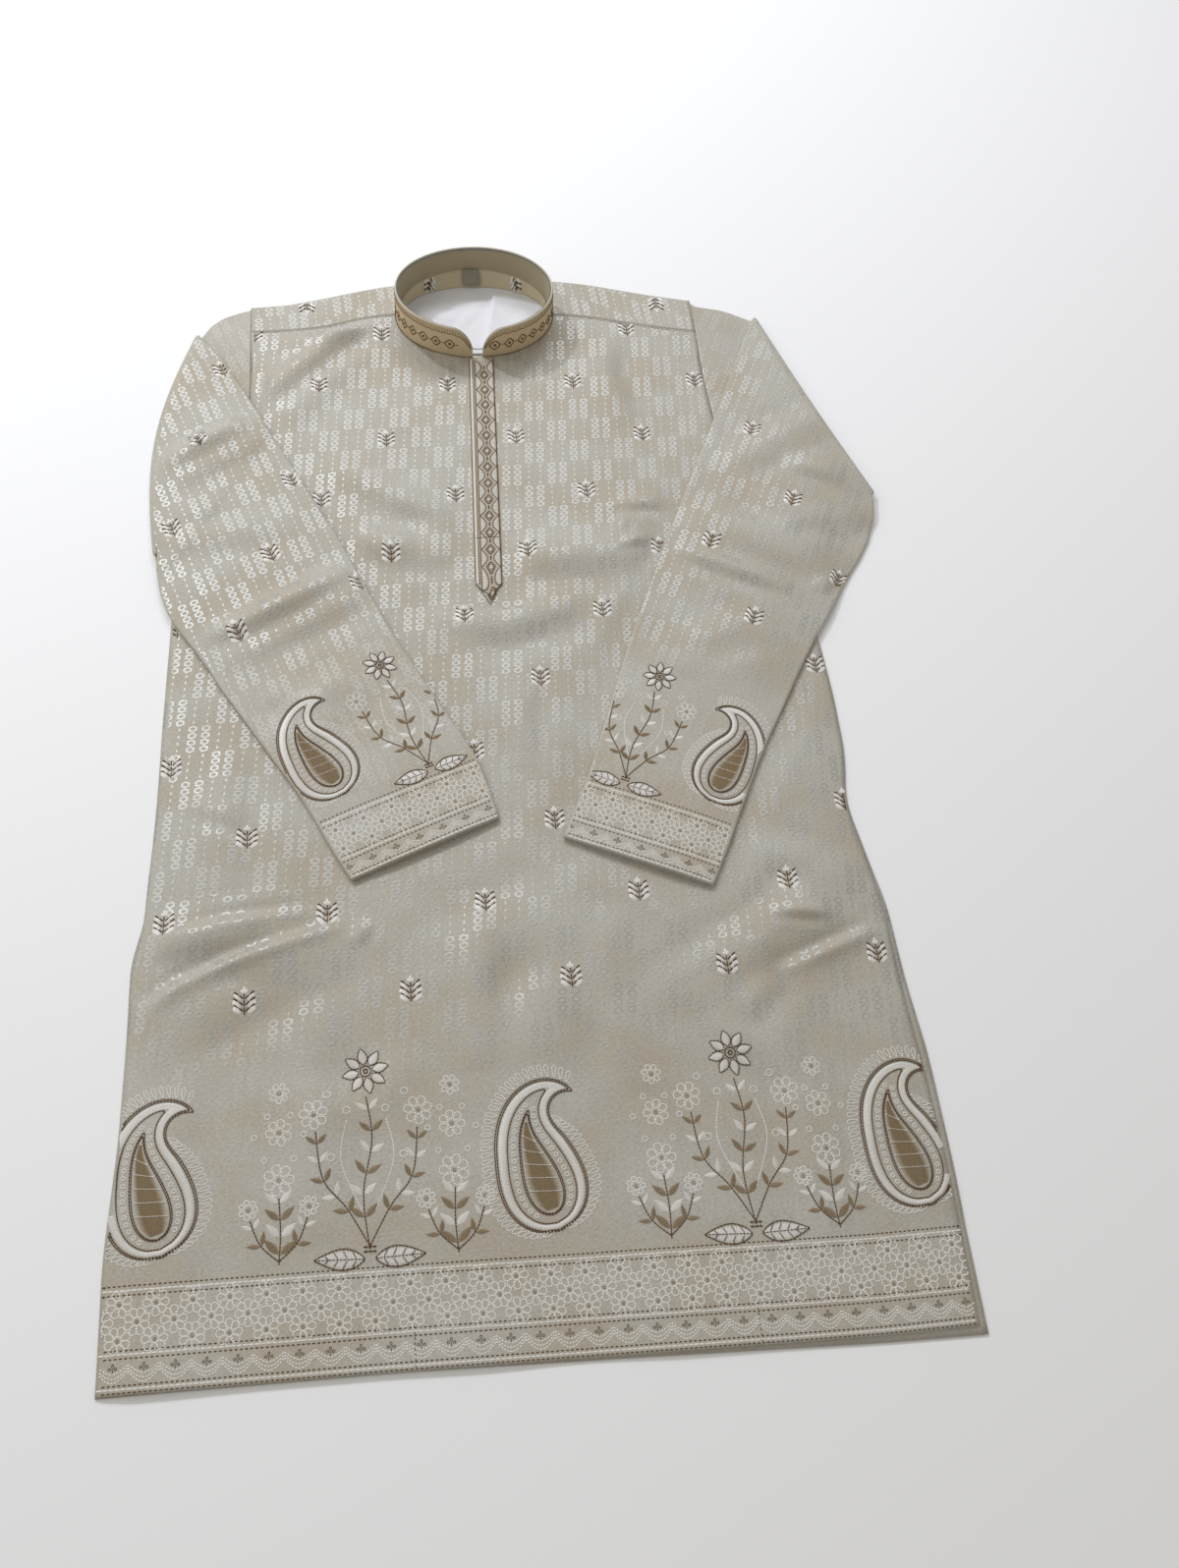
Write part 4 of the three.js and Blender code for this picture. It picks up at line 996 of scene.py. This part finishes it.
def petal(start, reach, half_width, steps):
    """An open loop: out and back along a sine, as wide as a sine of twice the turn."""
    t = np.linspace(0, 1, steps)
    return np.stack([start + reach * np.sin(np.pi * t), half_width * np.sin(2 * np.pi * t)], 1)


def diamond(x, y, wide, tall):
    """A closed diamond by its half width and half height."""
    return np.array([(x - wide, y), (x, y + tall), (x + wide, y), (x, y - tall), (x - wide, y)])


def sprig():
    """The small sprig, 19 mm by 22 mm: a brown stem, three pairs of slanting leaves, each of a few
    white stitches side by side under a bent brown rib, and a white bud of three stitches."""
    work = Needlework()
    for y, reach, rows in ((-9.4, 8.6, 3), (-4.6, 9.0, 3), (0.2, 8.2, 2)):
        for side in (-1, 1):
            root, tip = np.array([side * 0.8, y]), np.array([side * reach, y + 6.4])
            for k in range(rows):
                away = np.array([side * 0.62, -0.78]) * 0.95 * k
                trim = 0.06 + 0.07 * abs(k - 0.5)
                work.stitch("white", mix(root, tip, trim) + away, mix(tip, root, trim * 0.7) + away, 1.9, 0.95)
            rib, bend, end = root + (0, 1.6), np.array([side * reach * 0.5, y + 4.6]), tip + (-side * 0.4, 1.2)
            work.stitch("brown", [rib, bend], [bend, end], 1.5, 1.25)
    work.stitch("brown", [(0, -10.6), (0, -4.4), (0, 1.0)], [(0, -4.0), (0, 1.4), (0, 6.4)], 1.2, 1.0)
    for x, top in ((-2.2, 9.2), (0.0, 11.6), (2.2, 9.2)):
        work.stitch("white", (x * 0.4, 5.4), (x, top), 2.0, 0.9)
    return work


SPRIG = sprig()


def daisy(size, petals=7):
    """A looped daisy: petals as open loops of white thread round a small tan ring."""
    work = Needlework()
    for k in range(petals):
        loop = turned(petal(2.0, size - 2.0, 0.3 * size, 8), k * 2 * np.pi / petals)
        work.line("white", loop, stitch=1.9, width=1.05, height=0.6)
    work.line("tan", circle(0, 0, 1.1, 8), stitch=1.2, width=0.6, height=0.5)
    return work


def clover():
    """Three small loops on a stem, in brown."""
    work = Needlework()
    for angle in (0.0, np.pi / 2, np.pi):
        work.line("brown", turned(petal(0.6, 2.6, 1.1, 6), angle), stitch=1.5, width=0.6, height=0.4)
    work.stitch("brown", (0, -3.2), (0, 0.4), 0.7, 0.4)
    return work


def bands(work, start, end, heights):
    """The border's bands between two ends: pairs of brown dashed lines with a white line between them,
    which is the painted highlight of a raised welt, daisies in three staggered rows, and triple white
    scallops with a brown clover in each. `heights` are the first, second and third pair above the edge."""
    first, second, _ = heights
    for base, spread in zip(heights, (6.0, 5.0, 4.5)):
        top, foot, middle = ([(start, y), (end, y)] for y in (base, base - spread, base - spread / 2))
        for pair in (top, foot):
            work.line("brown", pair, stitch=2.6, gap=0.9, width=1.0, height=0.6)
        # white thread between the dashed lines: a painted highlight along a raised welt
        work.line("white", middle, stitch=4.0, width=1.3, height=0.35)
    bloom, leaf = daisy(9.2, 8), clover()
    pitch, arch = 25.0, 20.8
    for row, y in enumerate(np.linspace(first - 12.0, second + 6.0, 3)):
        for k in range(int((end - start) / pitch) + 2):
            work.add(bloom, moved(start + (k - 0.5 + 0.5 * (row % 2)) * pitch, y, 0.4 * k))
    t = np.linspace(0, 1, 9)
    for x in start + np.arange(int((end - start) / arch) + 1) * arch:
        for depth, drop in ((5.6, 0.0), (6.6, 2.0), (7.4, 3.8)):
            work.line("white", np.stack([x + arch * t, second - 8.8 - drop - depth * np.sin(np.pi * t)], 1),
                      stitch=2.0, gap=0.3, width=1.1, height=0.5)
        work.add(leaf, moved(x + arch / 2, second - 11.0))


def leaf_shape(root, tip, fat):
    """Edges of a leaf between two points: two sine arcs, fullest below the middle."""
    root, tip = np.asarray(root, float), np.asarray(tip, float)
    ahead = tip - root
    side = np.array([-ahead[1], ahead[0]]) * fat
    t = np.linspace(0, 1, 12)[:, None]
    line = root + ahead * t
    swell = np.sin(np.pi * t ** 0.8)
    return line + side * swell, line - side * swell


def stitched_leaf(work, root, tip, fat, fill, outline=None):
    """A satin leaf; with an outline it also gets a midrib and slanting veins."""
    left, right = leaf_shape(root, tip, fat)
    work.satin(fill, left, right)
    if outline:
        for edge in (left, right, [root, tip]):
            work.line(outline, edge, stitch=2.2, width=0.95, height=1.1)
        rib = mix(np.asarray(root, float), np.asarray(tip, float), np.linspace(0.16, 0.7, 4)[:, None])
        for k, m in enumerate(rib):
            ends = np.array([mix(m, left[3 + 2 * k], 0.9), mix(m, right[3 + 2 * k], 0.9)])
            work.stitch(outline, np.array([m, m]), ends, 0.8, 1.15)


def curve(*points):
    """A smooth path through a few points (Catmull-Rom)."""
    p = np.array([points[0], *points, points[-1]], float)
    t = np.linspace(0, 1, 9)[:-1, None]
    runs = [0.5 * (2 * b + (c - a) * t + (2 * a - 5 * b + 4 * c - d) * t ** 2 + (3 * b - a - 3 * c + d) * t ** 3)
            for a, b, c, d in zip(p[:-3], p[1:-2], p[2:-1], p[3:])]
    return np.vstack(runs + [p[-1:]])


def mango():
    """A plain mango figure: a body on a middle line that curls over at the top, in rings of brown and
    white round a tan heart, with a fringe of open loops outside. The half width along the middle line
    is a sine, fullest below the middle and drawn in to the tip."""
    work = Needlework()
    tall, count = 142.0, 60
    s = np.linspace(0, 1, count)
    heading = np.pi / 2 + 0.28 - 2.4 * np.clip((s - 0.45) / 0.55, 0, 1) ** 1.5
    spine = np.cumsum(np.stack([np.cos(heading), np.sin(heading)], 1), 0) * tall * 0.95 / count
    normal = np.stack([-np.sin(heading), np.cos(heading)], 1)
    width = 0.265 * tall * np.sin(np.pi * s ** 0.62) ** 0.85 * (1 - 0.45 * s)

    def ring(scale, start=0, stop=count):
        """Both edges of the body, drawn in by a scale."""
        at = mix((1 - scale) * 0.16, 1 - (1 - scale) * 0.56, s) * (count - 1)
        middle, across = walk(spine, at, np.arange(count)), walk(normal, at, np.arange(count))
        reach = across * width[:, None] * scale
        return (middle + reach)[start:stop], (middle - reach)[start:stop]

    def closed(scale):
        """The two edges as one loop."""
        left, right = ring(scale)
        return np.vstack([left, right[::-1], left[:1]])

    for scale in (1.0, 0.955, 0.72, 0.44, 0.40):
        work.line("brown", closed(scale), stitch=2.4, width=1.05, height=0.9)
    work.satin("white", closed(0.93), closed(0.75), pitch=0.95, width=1.1)
    for path in ring(0.58, 3, 56):
        for x, y in walk(path, np.arange(2.0, run_along(path)[-1] - 2, 5.4)):
            work.line("white", circle(x, y, 1.7, 7), stitch=1.5, width=1.1, height=0.8)
    heart = ring(0.36, 2, 57)
    work.satin("tan", heart[0], heart[1], pitch=1.0, width=1.15)
    for cross in range(14, 54, 8):
        work.line("white", [heart[0][cross], heart[1][cross - 6]], stitch=2.0, width=0.9, height=1.0)
    for side, short in ((1, 6), (-1, 30)):
        edge = spine + normal * side * width[:, None]
        along = run_along(edge)
        for at in np.arange(3.0, along[-1] - short, 4.6):
            k = min(int(np.searchsorted(along, at)), count - 1)
            way = math.atan2(*(normal[k] * side)[::-1])
            work.line("white", turned(petal(1.2, 9.6, 1.7, 7), way, walk(edge, at, along)),
                      stitch=2.2, width=0.9, height=0.6)
    return work


def rosette():
    """A full flower: eight white satin petals outlined in brown round a knotted eye."""
    work = Needlework()
    eye, radius, petals = 4.2, 15.0, 8
    for k in range(petals):
        way = unit(k * 2 * np.pi / petals + 0.2)
        stitched_leaf(work, way * eye, way * radius, 0.27, "white")
        for edge in leaf_shape(way * eye, way * radius, 0.30):
            work.line("brown", edge, stitch=2.1, width=0.85, height=1.0)
    work.line("brown", circle(0, 0, 3.6, 12), stitch=1.6, width=1.1, height=1.0)
    work.line("brown", circle(0, 0, 1.5, 8), stitch=1.3, width=1.2, height=1.0)
    return work


def flower_stem(work, path, leaves, size):
    """A brown stem with pairs of small leaves set along it, tan and white in turn; `leaves` lists
    shares of its length."""
    work.line("brown", path, stitch=2.2, width=1.1, height=0.8)
    along = run_along(path)
    for n, share in enumerate(leaves):
        here, ahead = (walk(path, share * along[-1] + d, along) for d in (0.0, 1.0))
        heading = math.atan2(*(ahead - here)[::-1])
        for side in (-1, 1):
            way = unit(heading + side * 0.85)
            stitched_leaf(work, here + way * 0.8, here + way * size * (1.5 - 0.3 * share), 0.24,
                          "tan" if n % 2 == 0 else "white")


def bouquet():
    """A plain bouquet, 130 mm tall: three curving stems from one tie, with a rosette on the middle one,
    daisies on the others, loose white curves and rings between, and two broad veined leaves at the
    foot."""
    work = Needlework()
    bloom = daisy(9.0)
    flower_stem(work, curve((0, 8), (-3, 40), (3, 72), (0, 98)), (0.2, 0.34, 0.48, 0.62, 0.76, 0.9), 8.0)
    work.add(rosette(), moved(0, 114))
    for side in (-1, 1):
        stem = curve((0, 10), (side * 13, 32), (side * 27, 50), (side * 31, 78))
        flower_stem(work, stem, (0.3, 0.45, 0.6, 0.75, 0.9), 7.0)
        work.add(bloom, moved(side * 32, 88, 0.3))
        stitched_leaf(work, (side * 3, 3), (side * 33, 4), 0.2, "white", "brown")
        tendril = curve((side * 4, 30), (side * 16, 60), (side * 12, 84))
        work.line("white", tendril, stitch=2.0, width=0.9, height=0.6)
        for y, x in ((90, 12), (62, 22), (100, 24)):
            work.line("white", circle(side * x, y, 2.4, 8), stitch=1.6, width=1.0, height=0.7)
    for y in (7.0, 9.6):
        work.line("brown", [(-4, y), (4, y)], stitch=2.6, width=1.3, height=1.1)
    return work


def small_bush():
    """A low bush: a short stem with leaves and a looped flower, two side stems with smaller ones, and
    above it small rings and two loose daisies."""
    work = Needlework()
    flower_stem(work, curve((0, 2), (1, 20), (0, 40)), (0.15, 0.4, 0.65, 0.9), 9.0)
    work.add(daisy(9.5), moved(0, 50))
    for side in (-1, 1):
        flower_stem(work, curve((0, 4), (side * 11, 14), (side * 17, 28)), (0.45, 0.8), 6.5)
        work.add(daisy(6.0), moved(side * 18, 34))
        for x, y in ((9, 62), (15, 76), (7, 88)):
            work.line("white", circle(side * x, y, 1.9, 8), stitch=1.4, width=1.0, height=0.7)
    work.add(daisy(8.2), moved(0, 78, 0.5))
    work.add(daisy(6.4), moved(0, 102, 0.2))
    return work


MANGO, BOUQUET, BUSH = mango(), bouquet(), small_bush()


def border_figures(work, start, end, base):
    """The row of figures above the bands: mango, bush, bouquet, bush, over and over."""
    repeat, grown = 282.0, 1.2
    for x in np.arange(start, end + 80, repeat):
        work.add(MANGO, moved(x + 6, base + 12))
        work.add(BUSH, moved(x + 86, base + 1, scale=grown))
        work.add(BOUQUET, moved(x + 150, base, scale=grown))
        work.add(BUSH, moved(x + 213, base + 1, scale=(-grown, grown)))


# ------------------------------------------------------------------ laying needlework on the pieces
def on_front(plan, lift):
    """Lays plan points on the front's upper face."""
    return np.column_stack([plan, front_top(plan[:, 0], plan[:, 1]) + lift])


def under_sleeve(x, y):
    """Whether points of the front are covered by a sleeve."""
    return np.minimum(outside_by(OVER_OUTLINES[-1], x, y), outside_by(OVER_OUTLINES[1], x, y)) < 1.5


def near_opening(x, y):
    """Whether the neck or the placket takes the place of a sprig."""
    at_neck = np.hypot((x - NECK_X) / (NECK_A + 12), (y - NECK_Y) / (NECK_B + 12)) < 1
    return at_neck or (abs(x - placket_x(y)) < 22 and y > PLACKET_BOTTOM[1] - 10)


def front_needlework():
    """The border along the hem with two joints in it, sprigs on the lattice, and two sprigs on the part
    of the back that comes over the shoulders."""
    def follow_hem(p):
        """Heights counted from the hem."""
        return np.stack([p[:, 0], p[:, 1] + front_hem(p[:, 0])], 1)

    def on_cloth(x, y):
        """Within the front's edges and clear of the sleeves."""
        return (body_inset(x, y) > 2.0) & (y > front_hem(x) + 1.2) & ~under_sleeve(x, y)

    def below_seam(x, y):
        """The same, under the shoulder seam."""
        return on_cloth(x, y) & (y < seam_y(x) - 1)

    def on_strip(plan, lift):
        """On the back's strip over the shoulders, which lies level."""
        return np.column_stack([plan, OFF_FLOOR + CLOTH + 2 * ROLL + lift])

    def before_roll(x, y):
        """Short of the roll."""
        return y < look(SHOULDER, x, 1, FOLD_BLUR) - ROLL

    border, whole, sprigs, shoulder_sprigs = (Needlework() for _ in range(4))
    bands(border, -317.0, 309.0, (68.5, 27.5, 6.0))
    border_figures(border, -282.0, 309.0, 71.0)
    whole.add(border, follow_hem)
    for x in (-103.0, 142.0):
        whole.line("brown", follow_hem(np.array([(x, 2.0), (x, 30.0)])), stitch=2.4, gap=1.1)
    for row in range(-1, 10):
        for k in range(-3, 4):
            x, y = (k + (0.25 if row % 2 else -0.25)) * SPRIG_ACROSS, -row * SPRIG_ROW
            if not near_opening(x, y):
                sprigs.add(SPRIG, moved(x, y))
    for x, y in ((-170, 106), (195, 102)):
        shoulder_sprigs.add(SPRIG, moved(x, y, np.pi))
    return (whole.make("hem_border", on_front, on_cloth) + sprigs.make("front_sprigs", on_front, below_seam)
            + shoulder_sprigs.make("shoulder_sprigs", on_strip, before_roll))


SLEEVE_SPRIGS = {
    -1: [(-253, 21), (-272, -73), (-293, -172), (-186, -117), (-205, -202), (-125, -237), (-232, -288)],
    1: [(243, 66), (270, -73), (296, -163), (208, -207), (325, -255), (235, -295)]}


def sleeve_needlework(side, name):
    """Sprigs and the border on a sleeve's upper ply. The border is laid out upright round the middle
    of the cuff and then put across it."""
    middle, across, up = cuff_frame(side)
    border, whole = Needlework(), Needlework()
    bands(border, -74.0, 74.0, (58.0, 22.0, 4.5))
    border.add(MANGO, moved(40 * side, 71, scale=(-0.88 * side, 0.88)))
    border.add(BOUQUET, moved(-32 * side, 60, scale=1.02))
    whole.add(border, lambda p: middle + p[:, :1] * across * side + p[:, 1:] * up)
    lean = math.atan2(up[1], up[0]) - np.pi / 2
    for x, y in SLEEVE_SPRIGS[side]:
        whole.add(SPRIG, moved(x, y, lean))

    def on_ply(plan, lift):
        """On the sleeve's upper face."""
        return np.column_stack([plan, sleeve_top(side, plan[:, 0], plan[:, 1]) + lift])

    def on_cloth(x, y):
        """Within the sleeve's folds and its cuff."""
        inside = outside_by(OVER_OUTLINES[side], x, y) < 0
        return inside & (sleeve_edge(side, x, y) > 2.2) & (cuff_distance(side, x, y) > 1.0)

    return whole.make(name, on_ply, on_cloth)


def collar_needlework():
    """On the outer band: a chain of diamonds, two dotted lines and a wavy one below the rim, and the
    seam line at the foot."""
    work = Needlework()
    length = COLLAR_SWEEP * NECK_A
    pitch, level = 15.5, 18.5
    for x in np.arange(11.0, length - 9, pitch):
        for wide, tall in ((5.6, 7.2), (1.3, 1.8)):
            work.line("brown", diamond(x, level, wide, tall), stitch=2.4, width=1.8, height=0.6)
        work.stitch("brown", (x + 6.2, level), (x + 9.3, level), 1.5, 0.6)
    s = np.linspace(1.5, length - 1.5, 400)
    rim = collar_height(s / NECK_A)
    for below, wave, stitch, gap in ((2.8, 0.0, 1.6, 1.3), (5.4, 0.0, 1.6, 1.3), (8.2, 0.6, 2.0, 0.0)):
        line = np.stack([s, rim - below + wave * np.sin(s * 2 * np.pi / 9)], 1)
        work.line("brown", line, stitch=stitch, gap=gap, width=1.2, height=0.6)
    work.line("brown", [(1.0, 1.6), (length - 1.0, 1.6)], stitch=3.0, width=1.1, height=0.5)

    def lay(plan, lift):
        """Outwards from the band."""
        return collar_point(plan[:, 0] / NECK_A, plan[:, 1], -lift)

    def on_band(x, y):
        """Within the band's rim and ends."""
        return (y < collar_height(np.clip(x / NECK_A, 0, COLLAR_SWEEP)) - 1.0) & (x > 0.6) & (x < length - 0.6)

    return work.make("collar_stitching", lay, on_band)


def placket_needlework():
    """Down the placket: diamonds in brown, tan and white on a middle line, between them white half
    moons edged in brown, straight lines at both edges, a line across and a pointed end."""
    work = Needlework()
    length = PLACKET_TOP[1] - PLACKET_BOTTOM[1]
    edge, repeat, chain = 12.2, 19.5, 2.6
    for x, colour, wide in ((-12.3, "brown", 1.0), (-10.4, "white", 1.7), (-8.4, "brown", 1.0),
                            (edge, "brown", 1.3)):
        work.line(colour, [(x, 2), (x, length - 3)], stitch=3.0, width=wide, height=0.5)
    t = np.linspace(0, 1, 11)
    for y in 4 + repeat * np.arange(int(length / repeat)):
        for side in (-1, 1):
            outer, moon, inner, last = (
                np.stack([chain + side * (9.0 - deep * np.sin(np.pi * t)), y + repeat * t], 1)
                for deep in (-0.4, 0.6, 5.2, 6.3))
            work.satin("white", moon, inner, pitch=1.6, width=1.0, height=0.45)
            for line in (outer, last):
                work.line("brown", line, stitch=2.2, width=0.95, height=0.7)
        for wide, tall, colour in ((4.2, 6.2, "brown"), (2.7, 3.9, "tan"), (1.2, 1.9, "white")):
            work.line(colour, diamond(chain, y + repeat, wide, tall), stitch=2.2, width=1.15, height=0.8)
        work.stitch("brown", (chain, y + 6.5), (chain, y + 12.5), 1.6, 0.8)
    work.line("brown", [(-13, length - 52), (13, length - 52)], stitch=2.6, width=1.0, height=0.7)
    for side in (-1, 1):
        work.line("brown", [(side * edge, length - 2), (0, length + 9.5)], stitch=2.4, width=1.0, height=0.6)

    def lay(plan, lift):
        """On the strip; its own point runs on past the end."""
        down = plan[:, 1] / length
        points = placket_point(np.clip(plan[:, 0] / PLACKET_WIDTH, -0.49, 0.49), np.clip(down, 0, 1))
        points[:, 1] -= np.maximum(plan[:, 1] - length, 0)
        points[:, 2] += lift
        return points

    return work.make("placket_stitching", lay)


def seams():
    """Brown stitches along both shoulder seams, just below the back's edge."""
    work = Needlework()
    for start, end in ((-224, -82), (84, 230)):
        x = np.linspace(start, end, 30)
        work.line("brown", np.stack([x, seam_y(x) - 1.6], 1), stitch=2.8, gap=0.4, width=0.75, height=0.25)
    return work.make("shoulder_seam_stitching", on_front)


# ------------------------------------------------------------------ the pieces
def dress(piece, slot, *nodes):
    """Rides on the body and stands for CAD nodes, which it hides; `slot` is not used."""
    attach(piece, "root")
    if nodes:
        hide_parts(*nodes)
    return piece


back = dress(back_panel(), "satin_jacquard", "back")
front = dress(front_panel(), "satin_jacquard", "front")
sleeve_right = dress(sleeve(-1, "sleeve_right_cloth"), "satin_jacquard", "sleeve_right")
sleeve_left = dress(sleeve(1, "sleeve_left_cloth"), "satin_jacquard", "sleeve_left")
band = dress(collar_wall("collar_band_cloth", 0.0, 0.0, COLLAR_CLOTH, True), "collar_cloth", "collar_band")
band_facing = dress(collar_wall("collar_facing_cloth", 2.6, 1.0, FACING_CLOTH, False), "plain_facing",
                    "collar_facing")
strip = dress(placket(), "placket_strip", "placket")
crescent = dress(neck_facing(), "plain_facing", "neck_facing")
white = dress(lining(), "white_lining", "lining")
tab = dress(size_tab(), "grey_tab", "size_tab")

rim_turn = np.linspace(0.004, COLLAR_SWEEP - 0.004, 260)
rim = collar_height(rim_turn)
dress(rail("collar_piping", collar_point(rim_turn, rim - 0.3, 0.9), 1.0, CREAM_EDGE), "collar_cloth")
dress(rail("collar_inner_line", collar_point(rim_turn, rim - 0.7, 2.5), 0.5, EDGE_THREAD), "collar_cloth")
tape_line = np.column_stack([np.linspace(-26, 32, 20), np.linspace(47.5, 46.5, 20), np.full(20, 3.2)])
dress(rail("neck_tape_line", tape_line, 0.35, EDGE_THREAD), "white_lining")

for group, slot in ((front_needlework(), "satin_jacquard"),
                    (sleeve_needlework(-1, "sleeve_right_border"), "satin_jacquard"),
                    (sleeve_needlework(1, "sleeve_left_border"), "satin_jacquard"),
                    (collar_needlework(), "collar_cloth"),
                    (placket_needlework(), "placket_strip"),
                    (facing_needlework(), "plain_facing"),
                    (seams(), "satin_jacquard")):
    for piece in group:
        dress(piece, slot)


# ------------------------------------------------------------------ studio
def stand(name, data, right, up, back, spot):
    """Puts a lamp or camera in the scene by its three ways and its place."""
    turn = np.eye(4)
    turn[:3] = np.column_stack([right, up, back, spot])
    holder = bpy.data.objects.new(name, data)
    holder.matrix_world = Matrix(turn.tolist())
    bpy.context.scene.collection.objects.link(holder)
    return holder


def studio():
    """A pale floor, a pale sky, a wide window beyond the collar, a small lamp beside it and a broad
    soft fill from the side of the right arm."""
    span = 6.0  # from the middle to each edge of the floor, in metres
    material, _, shader = finish_of("pale_floor")
    shader.inputs["Base Color"].default_value = linear("f8fafe")
    shader.inputs["Roughness"].default_value = 0.9
    mesh = bpy.data.meshes.new("floor")
    corners = [(-span, -span, 0), (span, -span, 0), (span, span, 0), (-span, span, 0)]
    mesh.from_pydata(corners, [], [(0, 1, 2, 3)])
    mesh.materials.append(material)
    floor = bpy.data.objects.new("floor", mesh)
    floor.location.z = -0.0004  # just under the cloth
    bpy.context.scene.collection.objects.link(floor)
    world = bpy.data.worlds.new("pale_sky")
    bpy.context.scene.world = world
    world.use_nodes = True
    world.node_tree.nodes["Background"].inputs[0].default_value = linear("fbf5ea")
    world.node_tree.nodes["Background"].inputs[1].default_value = 0.43
    # name, way from the collar, distance and size in m, power in W, tint
    for name, way, distance, size, power, tint in (
            ("window", (0.04, 0.62, 0.75), 2.4, (1.7, 0.5), 21.0, (0.975, 1.0, 1.06)),
            ("lamp", (-0.44, 0.52, 0.73), 2.4, (0.16, 0.16), 17.0, (0.975, 1.0, 1.06)),
            ("fill", (-0.72, 0.0, 0.68), 2.0, (1.6, 1.6), 8.0, (1.01, 1.0, 0.97))):
        way = np.array(way) / np.linalg.norm(way)
        side = np.cross([0, 0, 1.0], way)
        side /= np.linalg.norm(side)
        lamp = bpy.data.lights.new(name, "AREA")
        lamp.shape, lamp.size, lamp.size_y, lamp.energy = "RECTANGLE", size[0], size[1], power
        lamp.color = tint
        stand(name, lamp, side, np.cross(way, side), way, place([0, 60, 0]) + way * distance)
    bpy.context.scene.view_settings.view_transform = "Standard"


def camera():
    """The camera stands a metre above the hem's middle and looks down towards the chest."""
    tall, focal = 1596, 1200  # the view's height and the lens's length, in dots
    right = np.array([0.99106, -0.10562, 0.08155])
    back = np.cross(right, [0.06213, 0.90608, 0.42152])
    up = np.cross(back, right)
    data = bpy.data.cameras.new("camera")
    data.sensor_width = 36.0
    data.lens = data.sensor_width * focal / tall
    data.clip_start, data.clip_end = 0.05, 50
    ways = [way / np.linalg.norm(way) for way in (right, up, back)]
    bpy.context.scene.camera = stand("camera", data, *ways, place([-55.5, -871.3, 920.8]))


studio()
camera()
